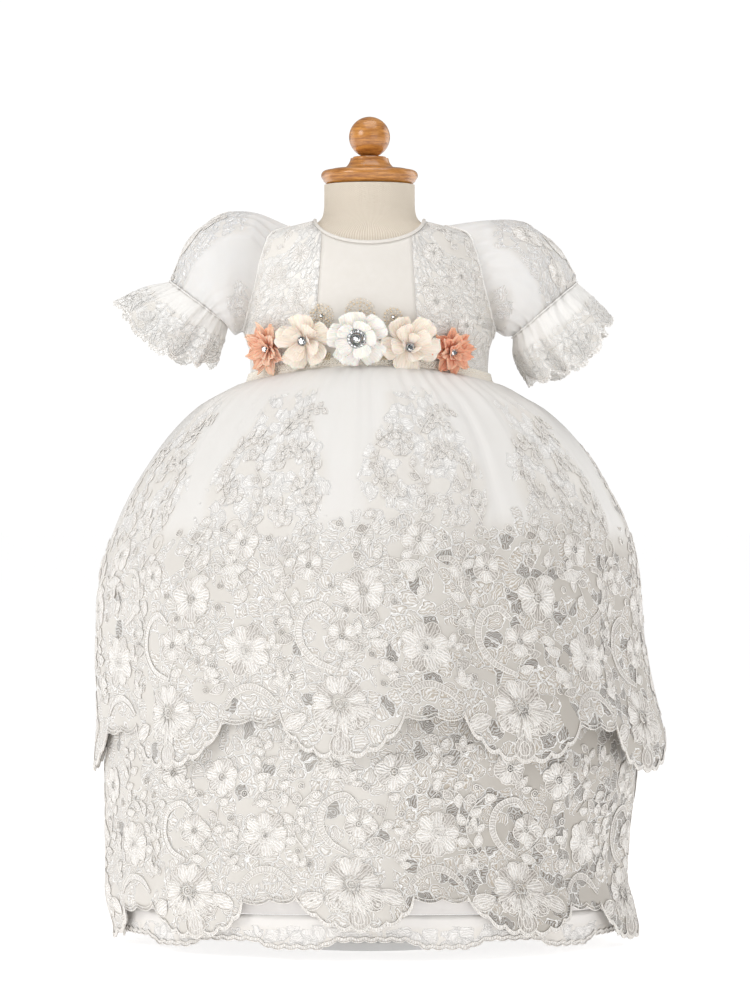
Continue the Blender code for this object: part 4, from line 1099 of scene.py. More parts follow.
def tierShell(name, surface, hem, material):
    turns = np.linspace(0, 1, hem["columns"] + 1)
    down = np.linspace(0, 1, hem["rows"]) ** (1.3 if hem is upper else 1.0)
    bottom = hem["low"] + hemRise(shareOf(turns, hem), hem)
    b = hem["top"] + (bottom - hem["top"])[None, :] * down[:, None]
    a = np.broadcast_to(turns, b.shape)
    run, heights = climbTable(surface, hem)
    u = ((a * hem["repeats"] - hem["phase"] - hemSet["middle"] + 0.5) % 1.0 - 0.5) * hem["width"]
    density = laceDensity(u, np.interp(b, heights, run), hem)
    # painted shade with darker thread: the net and its gaps grow darker low on the tier, and more so down its right
    # side
    right = np.clip(surface["at"](a, b)[..., 0] / 0.20, 0, 1)
    darkThreadAndShade = 0.30 * eased((0.40 - b) / 0.1) + 0.46 * eased((0.32 - b) / 0.3)
    darkThreadAndShade = 0.24 * eased((0.37 - b) / 0.09) + darkThreadAndShade * right
    values = {"lace": density, "darkThreadAndShade": darkThreadAndShade}
    return gridPiece(name, surface, a, b, material, flip=True, thick=hem["thick"], values=values)


# Heights at the side seams against the way up the cloth from the lowest hem line, near centre front
def climbTable(surface, hem):
    heights = np.linspace(hem["low"] - 0.01, hem["top"], 400)
    line = surface["at"](np.full(400, 0.78), heights)
    run = np.concatenate([[0], np.cumsum(np.linalg.norm(np.diff(line, axis=0), axis=1))])
    return run - np.interp(hem["low"], heights, run), heights


def onTier(surface, hem):
    run, heights = climbTable(surface, hem)

    def place(flat, copy):
        a = (copy + hem["phase"] + hemSet["middle"] + flat[:, 0] / hem["width"]) / hem["repeats"]
        return a, np.interp(flat[:, 1], run, heights)

    return place


# The border: corded edges and a fan flower in the scallop. The shell petals' loop leaves its own width in
# `width`, which edge() and the swag read after it, so the swag is a few millimetres wide
def hemLace(plan, hem, centre):
    width = hem["width"]

    def edge(u):
        return hemRise((u / width + hemSet["middle"]) % 1.0, hem)

    for inset in hemSet["cords"]:
        u = np.linspace(-0.34 * width, 0.66 * width, 75)
        addCord(plan, lineAt(u, edge(u) + inset))
    u = np.linspace(-0.34 * width, 0.34 * width, 50)
    addPatch(plan, stripAt(u, *(edge(u) + inset for inset in hemSet["stitched"])), u[None, :], 0.0006, 0.0)
    x, y = centre
    for i, (share, tone) in enumerate(hemSet["shells"]):
        turn = math.radians(-160 + 140 * i / 6)
        reach, farthest = hemSet["shellReach"]
        while reach < farthest:
            tipX, tipY = along(x, y, turn, reach)
            if tipY <= edge(tipX) + 2.0 * mm:
                break
            reach += 0.0005
        start = max(0.013, reach - 0.021)
        width = hemSet["shellWidth"] * share
        addPetal(plan, *along(x, y, turn, start), turn, reach - start, width, "round", tone)
        inner = 0.55 * (reach - start)
        addPetal(plan, *along(x, y, turn, start + 0.005), turn, inner, 0.5 * width, "round", 0.8 - tone)
    for i in range(10):  # narrow rays above the shells
        turn = math.radians(-172 + 164 * i / 9)
        length = (0.5 + 0.06 * (i % 3)) * 0.036
        tone = (0.0, 0.3, 0.0, 0.1, 0.4)[i % 5]
        addPetal(plan, *along(x, y, turn, 0.005), turn, length, 6.4 * mm, "fan", tone, outlined=i % 2 == 0)
    for i, tone in enumerate((0.1, 0.7, 0.2, 0.0, 0.6, 0.0)):
        turn = math.radians(10 + 160 * i / 5)
        addPetal(plan, *along(x, y, turn, 0.006), turn, 15.5 * mm, 11.5 * mm, "round", tone)
    addRing(plan, x, y, 3.8 * mm, 9)
    addRing(plan, x, y, 2.0 * mm, 6)
    u = np.linspace(0.345 * width, 0.655 * width, 26)
    low, high = edge(u) + 3.0 * mm, edge(u) + 8.4 * mm
    swag = stripAt(u, *(low + (high - low) * k for k in (0.0, 0.5, 1.0)))
    addPatch(plan, swag, 0.7 * u[None, :], np.array([[0.0004], [0.0008], [0.0004]]), 0.75)
    addCord(plan, lineAt(u, high))
    addCord(plan, lineAt(u, high + 2.4 * mm))


def upperPlan():
    plan = newPlan()
    hemLace(plan, upper, (0.0, 41 * mm))
    addBand(plan, [(52, 43), (60, 52), (73, 56), (86, 51), (95, 42)], 5, 0.3)
    addFlower(plan, 73, 84, 21, 8, 0.3, (0.0, 0.7, 0.15, 0.0))
    addFlower(plan, 73, 84, 11, 6, 0.0, (0.2, 0.0), "leaf", 1.1)
    for x, y, turn, length, width, tone in (
        (50, 66, 150, 17, 8, 0.0),
        (53, 60, 205, 15, 7, 0.4),
        (96, 66, 30, 17, 8, 0.5),
        (93, 60, -25, 15, 7, 0.0),
        (45, 86, 170, 16, 8, 0.0),
        (101, 88, 12, 15, 8, 0.6),
    ):
        addLeaf(plan, x, y, turn, length, width, tone)
    addBand(plan, [(2, 66), (-16, 74), (-27, 90), (-24, 108), (-10, 116), (2, 108)], 5.5, 0.2)
    addStem(plan, [(2, 66), (10, 82), (24, 94), (40, 104)], 14, 7, 6, 0.5)
    addFlower(plan, 8, 92, 13, 6, 0.5, (0.0, 0.55))
    addFlower(plan, 26, 126, 18, 7, 0.2, (0.0, 0.1, 0.6))
    addStem(plan, [(26, 140), (40, 150), (56, 150), (70, 140), (78, 124)], 14, 7, 7, 0.4)
    addBand(plan, [(84, 112), (98, 120), (106, 134), (100, 150), (88, 152)], 5, 0.3)
    addFlower(plan, 70, 166, 14, 6, 0.1, (0.0, 0.4, 0.0))
    addStem(plan, [(-30, 112), (-40, 130), (-38, 150), (-26, 164)], 14, 7, 7, 0.5)
    addFlower(plan, -18, 146, 12, 6, 0.4, (0.0, 0.5))
    addScroll(plan, -22, 172, 9, -1.2, 1.3)
    for line, leaf, count, tone in (
        ([(-66, 256), (-52, 272), (-36, 280), (-20, 281)], 10, 9, 0.1),
        ([(-64, 226), (-50, 240), (-34, 242), (-24, 226)], 10, 9, 0.0),
        ([(34, 244), (46, 254), (60, 256), (72, 246)], 10, 9, 0.0),
        ([(38, 240), (35, 225), (39, 210), (48, 199)], 9, 8, 0.4),
        ([(82, 232), (92, 244), (104, 244), (114, 232)], 9, 8, 0.2),
        ([(88, 262), (98, 272), (108, 270)], 9, 5, 0.0),
    ):
        addStem(plan, line, leaf, 5, count, tone)
    addStem(plan, [(35, 186), (27, 171), (17, 153)], 12, 7, 6, 0.8)
    addScroll(plan, 57, 178, 9, 0.4, 1.3)
    addScroll(plan, 50, 216, 7, 2.0, 1.2)
    addScroll(plan, -34, 262, 7, 1.0, 1.2)
    addPetal(plan, 50 * mm, 144 * mm, 0.1, 26 * mm, 10 * mm, "leaf", 0.0)
    addStem(plan, [(70, 180), (78, 196), (76, 214), (66, 228)], 12, 6, 7, 0.3)
    addStem(plan, [(-20, 182), (-28, 200), (-22, 220), (-26, 240)], 11, 5.5, 6, 0.3)
    addPetal(plan, 40 * mm, 214 * mm, 1.9, 13 * mm, 7 * mm, "round", 0.3)
    for x, y, r in (
        (44, 74, 3), (30, 78, 2.6), (100, 104, 3), (50, 118, 3), (12, 112, 2.6), (-42, 96, 3),
        (52, 134, 2.6), (92, 168, 3), (48, 178, 3), (4, 178, 3), (0, 130, 2.6), (-36, 62, 3), (36, 56, 2.6),
        (-46, 74, 2.4),
    ):
        addEyelet(plan, x, y, r)
    for x, y, turn in (
        (-44, 58, 100), (40, 62, 60), (-50, 84, 80), (112, 108, 200), (-20, 196, 90), (54, 200, 100),
        (96, 190, 80), (112, 208, 110), (88, 226, 95), (58, 236, 90), (-44, 178, 100),
    ):
        addSprig(plan, x, y, turn, 0.2 if x > 40 else 0.0, 0.0)
    return plan


def lowerPlan():
    plan = newPlan()
    hemLace(plan, lower, (0.0, 36 * mm))
    addBand(plan, [(46, 37), (56, 46), (67, 49), (79, 45), (88, 36)], 5, 0.3)
    addFlower(plan, 67, 75, 19, 8, 0.1, (0.0, 0.6, 0.1, 0.0))
    addFlower(plan, 67, 75, 10, 6, 0.0, (0.2, 0.0), "leaf", 1.1)
    addBand(plan, [(-2, 60), (-16, 68), (-24, 82), (-20, 98), (-6, 104), (4, 96)], 5, 0.2)
    addStem(plan, [(0, 60), (14, 70), (24, 84), (28, 104)], 13, 7, 7, 0.5)
    addFlower(plan, 6, 82, 12, 6, 0.4, (0.0, 0.5))
    addStem(plan, [(-34, 62), (-44, 76), (-42, 94), (-30, 108)], 13, 7, 7, 0.5)
    addFlower(plan, 30, 122, 15, 7, 0.2, (0.0, 0.5, 0.0))
    addStem(plan, [(56, 98), (66, 108), (80, 108), (90, 98)], 13, 6.5, 6, 0.4)
    addFlower(plan, -14, 128, 14, 6, 0.2, (0.0, 0.3))
    addStem(plan, [(58, 120), (66, 134), (62, 150)], 12, 6, 6, 0.3)
    for x, y, r in (
        (40, 60, 3), (94, 62, 2.6), (38, 90, 3), (-32, 52, 2.6), (10, 110, 3), (50, 108, 3), (-40, 112, 2.6),
        (86, 124, 3),
    ):
        addEyelet(plan, x, y, r)
    for x, y, turn in (
        (-40, 50, 110), (38, 52, 50), (98, 78, 100), (44, 76, 170), (-2, 112, 70), (84, 140, 90), (8, 146, 100)
    ):
        addSprig(plan, x, y, turn, 0.0, 0.3)
    return plan


# Painted shade: darker thread shows more towards the gown's right, the side in shade, and less towards its left
def shadedSide(points):
    return np.clip(points[:, 0] / 0.22, -1, 1) * 0.40 + 0.10


pieces = {}
tier = tierShell("upperTier", upperSurface, upper, laces["laceOverNet"])
tierLace = layLace(
    "upperTier", upperPlan(), upperSurface, onTier(upperSurface, upper), range(upper["repeats"]),
    toneShift=shadedSide,
)
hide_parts("skirt_upper_front", "skirt_upper_back")
pieces["upper"] = [tier, *tierLace]
print("upper tier:", [trianglesOf(piece) for piece in pieces["upper"]])

flounce = tierShell("lowerTier", lowerSurface, lower, laces["laceOverNet"])
flounceLace = layLace(
    "lowerTier", lowerPlan(), lowerSurface, onTier(lowerSurface, lower), range(lower["repeats"]),
    toneShift=shadedSide,
)
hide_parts("skirt_lower_front", "skirt_lower_back")
pieces["lower"] = [flounce, *flounceLace]
print("lower tier:", [trianglesOf(piece) for piece in pieces["lower"]])


def petticoatHem(a, rise):
    angle = petticoatSurface["angle"](a)
    return petticoatSet["hem"] + rise - petticoatSet["drop"] * np.maximum(0.0, -np.sin(angle)) ** 2


# The lace edge hangs in a broad lobe at every tenth of the way round, with small teeth along it
def petticoatEdge(a):
    away = np.abs(a * petticoatSet["lobes"] - np.round(a * petticoatSet["lobes"]))
    lobe = eased((0.30 - away + 0.03 * np.sin(31 * a)) / 0.16)
    teeth = petticoatSet["tooth"] * np.abs(np.sin(np.pi * petticoatSet["teeth"] * a)) ** 0.7
    return petticoatHem(a, petticoatSet["lobe"] * (1 - lobe)) + petticoatSet["tooth"] - teeth


def petticoatPieces():
    turns = np.linspace(0, 1, 161)
    bottom = petticoatHem(turns, petticoatSet["edging"] + 0.0003)
    down = np.linspace(0, 1, 30) ** 1.2
    b = petticoatSet["top"] + (bottom - petticoatSet["top"])[None, :] * down[:, None]
    cloth = gridPiece(
        "petticoatCloth", petticoatSurface, np.broadcast_to(turns, b.shape), b, petticoatCloth, flip=True,
        thick=petticoatSet["thick"],
    )
    turns = np.linspace(0, 1, 6 * petticoatSet["teeth"] + 1)
    top, low = petticoatHem(turns, petticoatSet["edging"]), petticoatEdge(turns)
    b = top + (low - top)[None, :] * np.linspace(0, 1, 7)[:, None]
    a = np.broadcast_to(turns, b.shape)
    values = {"lace": 0.9 * eased((petticoatHem(a, 0.019) - b) / 0.004), "darkThreadAndShade": 0.10}
    edging = gridPiece(
        "petticoatEdging", petticoatSurface, a, b, laces["laceOnPetticoat"], flip=True,
        thick=petticoatSet["edgingThick"], values=values,
    )
    plan = newPlan()
    width = 1.0 / petticoatSet["lobes"]
    u = np.linspace(0, width, 6 * petticoatSet["teeth"] // petticoatSet["lobes"] + 1)
    addCord(plan, lineAt(u, 0.0006))
    addCord(plan, lineAt(u[::3], 0.0034))
    addPatch(plan, stripAt(u[::3], 0.0010, 0.0030), 1.2 * u[None, ::3], 0.0003, 0.0)

    def place(flat, copy):
        a = flat[:, 0] + copy * width
        return a, petticoatEdge(a) + flat[:, 1]

    lace = layLace("petticoatEdging", plan, petticoatSurface, place, range(petticoatSet["lobes"]))
    return cloth, edging, lace


cloth, edging, edgingLace = petticoatPieces()
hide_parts("petticoat_front", "petticoat_back")
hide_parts("petticoat_edging_front", "petticoat_edging_back")
list(edgingLace)
pieces["petticoat"] = [cloth, edging, *edgingLace]
print("petticoat:", [trianglesOf(piece) for piece in pieces["petticoat"]])


# Princess seams close in from the waist to the neckline
def tapered(x, height):
    share = np.clip((height - waist["side"]) / (neck["front"] - waist["side"]), 0, 1)
    return x * (1 - (1 - princess["taper"]) * share)


def mirroredBody(mirror):
    return {"at": lambda a, b: bodyAt(a, b) * np.array([mirror, 1, 1]), "steps": body["steps"], "out": mirror}


bodiceSet = {"rows": 34, "columns": 26, "lift": 0.0002, "thick": 0.0008, "binding": 0.0015, "bindingRise": 0.0017}


# The section angle of a panel's edge at a height: a princess seam, centre back, or side seam with armhole
def edgeAngle(kind, side, height):
    if kind == "outer":
        across = np.clip((height - armhole["middle"]) / (armhole["top"] - armhole["middle"]), -1, 1)
        depth = armhole["halfDepth"] * np.sqrt(1 - across**2) + 0.0002
        return side * np.arcsin(depth / smooth(bodyRows, "halfDepth", height))
    if kind == "centre":
        return bodyAngle(0.00015, height, side)
    return bodyAngle(tapered(princess[kind], height), height, side)


# A panel between two edges, from the waist seam to the neckline or shoulder
def bodicePanel(name, material, side, inner, outer, mirror=1, columns=bodiceSet["columns"], values=None):
    share = np.linspace(0, 1, columns)
    rows = bodiceSet["rows"]
    heights = np.zeros((rows, columns))
    angles = np.zeros((rows, columns))
    for k, s in enumerate(share):
        up = np.linspace(0, 1, rows)
        if inner == "left" and outer == "right":  # the centre front, between the two princess seams
            x = (1 - s) * -princess["left"] + s * princess["right"]
            top = neckHeight(x * princess["taper"], side)
            height = waist["side"] + waist["frontRise"] * 0.93 + (
                top - waist["side"] - waist["frontRise"] * 0.93
            ) * up
            angles[:, k] = bodyAngle(tapered(x, height), height, side)
            heights[:, k] = height
            continue
        innerX = princess[inner] * princess["taper"] if inner in princess else 0.0
        swing = math.asin(min(1.0, innerX / neck["side"]))
        neckX = neck["side"] * math.sin(swing + (math.pi / 2 - swing) * s)
        top = neckHeight(neckX, side)
        start = edgeAngle(inner, side, np.array([waist["side"]]))[0] * (1 - s) + side * 0.0004 * s
        height = waistHeight(start) + (top - waistHeight(start)) * up
        first, second = edgeAngle(inner, side, height), edgeAngle(outer, side, height)
        line = first * (1 - s) + second * s
        finish = bodyAngle(neckX, np.array([top]), side)[0]
        drift = finish - line[-1]
        angles[:, k] = line + drift * up**4
        heights[:, k] = height
    flip = (side > 0) != (mirror < 0)
    surface = mirroredBody(mirror)
    if inner == "left":
        surface["out"] = 1
        flip = False
    finish = {"lift": bodiceSet["lift"], "thick": bodiceSet["thick"], "values": values}
    return gridPiece(name, surface, angles, heights, material, flip=flip, **finish)


# Which points of the body lie on a panel, with a margin for its seams
def insidePanel(side, inner):
    def keep(a, b):
        x = np.cos(a) * smooth(bodyRows, "halfWidth", b)
        innerX = 0.002 if inner == "centre" else tapered(princess[inner], b) + 0.001
        good = (x > innerX) & (b > waistHeight(a) + 0.001)
        good &= side * np.sin(a) * smooth(bodyRows, "halfDepth", b) > 0.001
        good &= (b < neckHeight(x, side) - 0.002) | (x > neck["side"])
        good &= b < 0.573
        y = np.sin(a) * smooth(bodyRows, "halfDepth", b)
        up = (b - armhole["middle"]) / (armhole["top"] - armhole["middle"])
        hole = up**2 + (y / armhole["halfDepth"]) ** 2 < 1.08
        return good & ~hole

    return keep


def bodicePlan():
    plan = newPlan()
    for x, y, radius, petals, turn, tones in (
        (12, 22, 9, 7, 0.2, (0.0, 0.3)),
        (36, 40, 9, 6, 0.5, (0.0,)),
        (10, 58, 9, 8, 0.0, (0.0, 0.0, 0.4)),
        (34, 78, 9, 7, 0.3, (0.1, 0.0)),
        (12, 96, 8, 7, 0.1, (0.0, 0.2)),
        (62, 24, 9, 6, 0.1, (0.0, 0.3)),
        (70, 62, 9, 7, 0.4, (0.0,)),
        (56, 100, 8, 6, 0.0, (0.2, 0.0)),
        (94, 40, 9, 7, 0.2, (0.0, 0.3)),
        (98, 78, 9, 6, 0.3, (0.0,)),
    ):
        addFlower(plan, x, y, radius, petals, turn, tones)
    for line in (
        [(-4, 4), (6, 8), (22, 6), (30, 16), (28, 26)],
        [(22, 20), (24, 34), (20, 42), (24, 56), (30, 62)],
        [(48, 40), (52, 52), (48, 62), (52, 76), (60, 84)],
        [(-2, 66), (4, 72), (18, 70), (26, 78), (28, 90)],
        [(30, 100), (34, 108), (32, 118), (38, 126)],
        [(74, 24), (80, 36), (78, 50), (84, 58)],
        [(76, 70), (82, 80), (80, 92), (74, 100)],
        [(46, 12), (50, 22), (48, 30)],
        [(54, 110), (62, 104), (72, 106), (80, 116)],
        [(104, 46), (110, 54), (106, 62)],
    ):
        addStem(plan, line, 9, 4.6, 2 + 2 * len(line) // 2, 0.3)
    return plan


def bodiceLace(name, side, mirror, inner):
    surface = mirroredBody(mirror)
    start = 0.0 if inner == "centre" else princess[inner] * 0.9

    def place(flat, copy):
        b = waist["side"] + 0.004 + flat[:, 1]
        x = start + flat[:, 0]
        return side * (math.pi / 2 - x / 0.083), b

    return layLace(name, bodicePlan(), surface, place, [0], insidePanel(side, inner))


def bodicePieces():
    made = []
    centre = bodicePanel("bodiceCentreFront", satinCloth, -1, "left", "right")
    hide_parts("bodice_front_centre")
    made.append(centre)
    for where, mirror, inner in (("Left", -1, "left"), ("Right", 1, "right")):
        # darker thread and painted shade, more on the right panels than the left
        stitched = {"lace": 1.0, "darkThreadAndShade": 0.10 if mirror < 0 else 0.26}
        panel = bodicePanel(
            "bodiceFront" + where, laces["laceOverSatin"], -1, inner, "outer", mirror, values=stitched
        )
        lace = bodiceLace("bodiceFront" + where, -1, mirror, inner)
        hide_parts("bodice_front_" + where.lower())
        back = bodicePanel(
            "bodiceBack" + where, laces["laceOverSatin"], 1, "centre", "outer", mirror, columns=34, values=stitched
        )
        backLace = bodiceLace("bodiceBack" + where, 1, mirror, "centre")
        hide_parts("bodice_back_" + where.lower())
        made += [panel, *lace, back, *backLace]
    turns = np.linspace(-math.pi / 2, math.pi / 2, 40)
    line = []
    for side, order in ((-1, turns), (1, turns[::-1])):
        x = neck["side"] * np.sin(order[:-1])
        height = neckHeight(x, side)
        angle = bodyAngle(x, height, side)
        point = bodyAt(angle, height)
        rise = bodyAt(angle, height + 0.001) - point
        rise /= np.linalg.norm(rise, axis=1, keepdims=True)
        line.append(point + rise * bodiceSet["bindingRise"])
    binding = cordPiece("neckBinding", [np.concatenate(line)], bodiceSet["binding"], satinCloth, 10, closed=True)
    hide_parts("neck_binding")
    made.append(binding)
    return made


pieces["bodice"] = bodicePieces()
print("bodice:", [trianglesOf(piece) for piece in pieces["bodice"]])


puffRows = {
    -1: table(
        "topOut topHeight bottomOut bottomHeight halfDepth gather",
        (0.0925, 0.5812, 0.1035, 0.4860, 0.0360, 0.7),
        (0.1190, 0.5795, 0.1075, 0.4838, 0.0430, 0.4),
        (0.1436, 0.5600, 0.1105, 0.4862, 0.0410, 0.4),
        (0.1552, 0.5350, 0.1135, 0.4902, 0.0320, 1.0),
        (0.1572, 0.5250, 0.1156, 0.4938, 0.0262, 1.3),
    ),
    1: table(
        "topOut topHeight bottomOut bottomHeight halfDepth gather",
        (0.0945, 0.5742, 0.1035, 0.4850, 0.0360, 0.7),
        (0.1222, 0.5732, 0.1075, 0.4826, 0.0430, 0.4),
        (0.1478, 0.5555, 0.1108, 0.4822, 0.0410, 0.4),
        (0.1618, 0.5330, 0.1142, 0.4830, 0.0330, 1.0),
        (0.1628, 0.5234, 0.1164, 0.4834, 0.0285, 1.3),
    ),
}
frillRows = {
    -1: table(
        "topOut topHeight bottomOut bottomHeight halfDepth belly",
        (0.1780, 0.5196, 0.1185, 0.4795, 0.0350, 0.006),
        (0.1975, 0.5085, 0.1265, 0.4620, 0.0450, 0.014),
    ),
    1: table(
        "topOut topHeight bottomOut bottomHeight halfDepth belly",
        (0.1775, 0.5110, 0.1175, 0.4660, 0.0365, 0.006),
        (0.1905, 0.4920, 0.1310, 0.4470, 0.0450, 0.014),
    ),
}
sleeveSet = {"round": 0.24, "ring": 0.0165, "thick": 0.0005, "seam": 0.0010}
frillSet = {
    "waves": 8,
    "waveHeight": 0.0052,
    "lobes": 14,
    "lobe": 0.0085,
    "thick": 0.0005,
    "picot": 0.0011,
    "gathering": 0.0006,
}


# The puff's gathered top edge, which laps a little over the bodice round the armhole
def armholeRing(side, turn):
    lap = 0.0036 + 0.0030 * np.cos(turn) + 0.0008 * gatherWave(turn, side)
    height = armhole["middle"] + (armhole["top"] - armhole["middle"] + lap) * np.cos(turn)
    y = -(armhole["halfDepth"] + lap) * np.sin(turn)
    angle = np.arcsin(y / smooth(bodyRows, "halfDepth", height))
    return offset(body, angle, height, 0.0008) * np.array([side, 1, 1])


def sectionRing(side, row, turn, swell=0.0, drop=0.0):
    topX, topZ, lowX, lowZ = (row[key] for key in ("topOut", "topHeight", "bottomOut", "bottomHeight"))
    half = np.array([(topX - lowX) / 2, (topZ - lowZ) / 2])
    length = np.linalg.norm(half)
    reach = 1 + swell / length
    x = (topX + lowX) / 2 + half[0] * np.cos(turn) * reach
    z = (topZ + lowZ) / 2 + half[1] * np.cos(turn) * reach
    y = -row["halfDepth"] * np.sin(turn) * reach
    onward = np.array([half[1], -half[0]]) / length
    slide = row.get("belly", 0.0) * np.sin(turn) ** 2 + drop
    return np.stack([side * (x + onward[0] * slide), y, z + onward[1] * slide], -1)


def rowOf(rows, i):
    return {key: column[i] for key, column in rows.items()}


# A smooth surface through rings; b counts the rings
def throughRings(rings):

    def at(a, b):
        turn = 2 * math.pi * a
        stack = np.stack([ring(turn) for ring in rings])
        last = len(rings) - 1
        b = np.clip(b, 0, last)
        i = np.clip(np.floor(b).astype(int), 0, last - 1)
        t = (b - i)[..., None]

        def pick(k):
            return np.take_along_axis(stack, np.clip(k, 0, last)[None, ..., None], 0)[0]

        p0, p1, p2, p3 = pick(i - 1), pick(i), pick(i + 1), pick(i + 2)
        p0 = np.where((i == 0)[..., None], 2 * p1 - p2, p0)
        p3 = np.where((i == last - 1)[..., None], 2 * p2 - p1, p3)
        return between(p0, p1, p2, p3, t)

    return at


def gatherWave(turn, side):
    return np.sin(24 * turn + 1.5 * np.sin(3 * turn + side)) * (0.6 + 0.4 * np.sin(5 * turn + 2 * side))


def sleeveSurface(side):
    rings = [lambda turn: armholeRing(side, turn)]
    for i in range(5):
        row = rowOf(puffRows[side], i)
        fuller = 0.0020 * (i == 4)
        rings.append(
            lambda turn, row=row, fuller=fuller: sectionRing(
                side, row, turn, fuller + 0.0015 * row["gather"] * gatherWave(turn, side)
            )
        )
    return {"at": throughRings(rings), "steps": (0.002, 0.02), "out": side * 1.0}


def frillSurface(side):
    cuff = rowOf(puffRows[side], 4)
    rings = [lambda turn: sectionRing(side, cuff, turn, 0.0021 + 0.0019 * gatherWave(turn, side), 0.0004)]
    for share, i in ((0.5, 0), (1.0, 1)):
        row = rowOf(frillRows[side], i)

        def ring(turn, row=row, share=share):
            ripple = np.sin(frillSet["waves"] * turn + 0.6) + 0.3 * np.sin(17 * turn + side)
            wave = frillSet["waveHeight"] * share * ripple
            fine = 0.0006 * np.sin(48 * turn) * (1.2 - share)
            dip = np.abs(np.sin(frillSet["lobes"] * turn / 2)) ** 0.7 - (0.5 if side < 0 else 0.8)
            lobe = frillSet["lobe"] * dip * (share == 1.0)
            return sectionRing(side, row, turn, wave + fine, lobe)

        rings.append(ring)
    return {"at": throughRings(rings), "steps": (0.002, 0.02), "out": side * 1.0}


# Sprays near the crown and the outer edge of a puff; x runs round it, y down from the armhole
def sleevePlan(side):
    plan = newPlan()
    spots = ((-8, 34, 8, 6), (10, 50, 8, 6), (-14, 62, 8, 6), (8, 76, 7, 6))
    if side > 0:
        spots += ((26, 36, 8, 6), (34, 60, 9, 7), (-34, 44, 9, 6), (-40, 68, 8, 6), (24, 78, 7, 6))
    for x, y, radius, petals in spots:
        addFlower(plan, x, y, radius, petals, 0.1 * x, (0.0, 0.5 if side > 0 else 0.2, 0.0))
    for line in (
        [(-14, 26), (-4, 44), (2, 60), (-2, 78)],
        [(18, 40), (28, 50), (32, 72)] if side > 0 else [(14, 30), (14, 44)],
    ):
        addStem(plan, line, 7, 3.6, 6, 0.3)
    return plan


# Lace along the crown and the outer edge, and over half of the puff at the gown's right
def sleeveDensity(side, a, b):
    away = np.abs((a + 0.5) % 1.0 - 0.5)
    reach = 0.13 + 0.032 * b if side > 0 else 0.135 + 0.008 * b
    crown = eased((reach - away) / 0.03 + 0.5) * eased((b - 0.9) / 0.5)
    seam = eased((0.09 - np.abs(away - 0.38)) / 0.03 + 0.4) * eased((2.4 - b) / 0.8)
    return np.maximum(crown, 0.7 * seam)


# One lobe of the frill: a corded wheel near the edge, threads fanning up from it and a picot edge
def frillPlan():
    plan = newPlan()
    lobe = 2 * math.pi / frillSet["lobes"]
    u = np.linspace(0, lobe, 9)
    for b in (1.97, 1.90):
        addCord(plan, lineAt(u, b))
    addCord(plan, lineAt(u, 1.16 + 0.10 * np.abs(2 * u / lobe - 1)))
    addPatch(plan, stripAt(u, 1.90, 1.97), (u * 0.03)[None, :], 0.0004, 0.0)
    for k in range(12):
        turn = 2 * math.pi * k / 12
        c, s = math.cos(turn), math.sin(turn)
        addCord(plan, [(lobe / 2 + 0.38 * lobe * t * c, 1.56 + 0.30 * t * s) for t in (0.36, 0.68, 0.94)])
    for reach in (0.22, 0.34, 1.0):
        turns = ringTurns(14 if reach == 1.0 else 8)
        x, b = lobe / 2 + 0.38 * lobe * reach * np.cos(turns), 1.56 + 0.30 * reach * np.sin(turns)
        addCord(plan, np.stack([x, b], -1), closed=True)
    for x in (0.0, lobe / 2):
        addCord(plan, [(x, 0.80), (x + 0.03, 0.95), (x, 1.14)])
    return plan


# A sleeve's flat plan as turns round the puff and rings down it
def onSleeve(flat, copy):
    return flat[:, 0] / sleeveSet["round"], flat[:, 1] / sleeveSet["ring"]


def sleeveInside(a, b):
    return (b > 0.3) & (b < 4.9)


def onFrill(flat, copy):
    return flat[:, 0] / (2 * math.pi) + copy * (1.0 / frillSet["lobes"]), flat[:, 1]


def sleevePieces():
    made = []
    for side, where in ((-1, "Left"), (1, "Right")):
        surface = sleeveSurface(side)
        a, b = np.meshgrid(np.linspace(0, 1, 145), np.linspace(0, 5, 46))
        # darker thread and painted shade, more on the right sleeve than the left
        values = {"lace": sleeveDensity(side, a, b), "darkThreadAndShade": 0.08 if side < 0 else 0.21}
        puff = gridPiece(
            "puffSleeve" + where, surface, a, b, laces["laceOverOrganza"], flip=side < 0,
            thick=sleeveSet["thick"], values=values,
        )
        plan = sleevePlan(side)
        lace = layLace("puffSleeve" + where, plan, surface, onSleeve, [0], sleeveInside)
        ring = armholeRing(side, ringTurns(120))
        seam = cordPiece("sleeveArmholeSeam" + where, [ring], sleeveSet["seam"], whiteCord, 6, closed=True)
        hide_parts("sleeve_" + where.lower())

        frill = frillSurface(side)
        a, b = np.meshgrid(np.linspace(0, 1, frillSet["lobes"] * 15 + 1), np.linspace(0, 2, 18))
        # darker thread and painted shade, more on the right frill than the left
        values = {"lace": 1.1 * eased((b - 0.75) / 0.3), "darkThreadAndShade": 0.06 if side < 0 else 0.22}
        edge = gridPiece(
            "sleeveFrill" + where, frill, a, b, laces["laceEdging"], flip=side < 0, thick=frillSet["thick"],
            values=values,
        )
        copies = range(frillSet["lobes"])
        frillLace = layLace(
            "sleeveFrill" + where, frillPlan(), frill, onFrill, copies, fine=0.75, cording=whiteCord
        )
        turns = np.linspace(0, 1, frillSet["lobes"] * 7, endpoint=False)
        picots = offset(frill, turns, np.full(len(turns), 2.0))
        dots = beadPiece("frillPicots" + where, picots, frillSet["picot"], 0.2, 3, whiteCord)
        ring = offset(frill, np.linspace(0, 1, 96, endpoint=False), np.full(96, 0.02), 0.0008)
        elastic = cordPiece("sleeveGathering" + where, [ring], frillSet["gathering"], whiteCord, 6, closed=True)
        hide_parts("sleeve_frill_" + where.lower())
        made += [puff, *lace, seam, edge, *frillLace, dots, elastic]
    return made


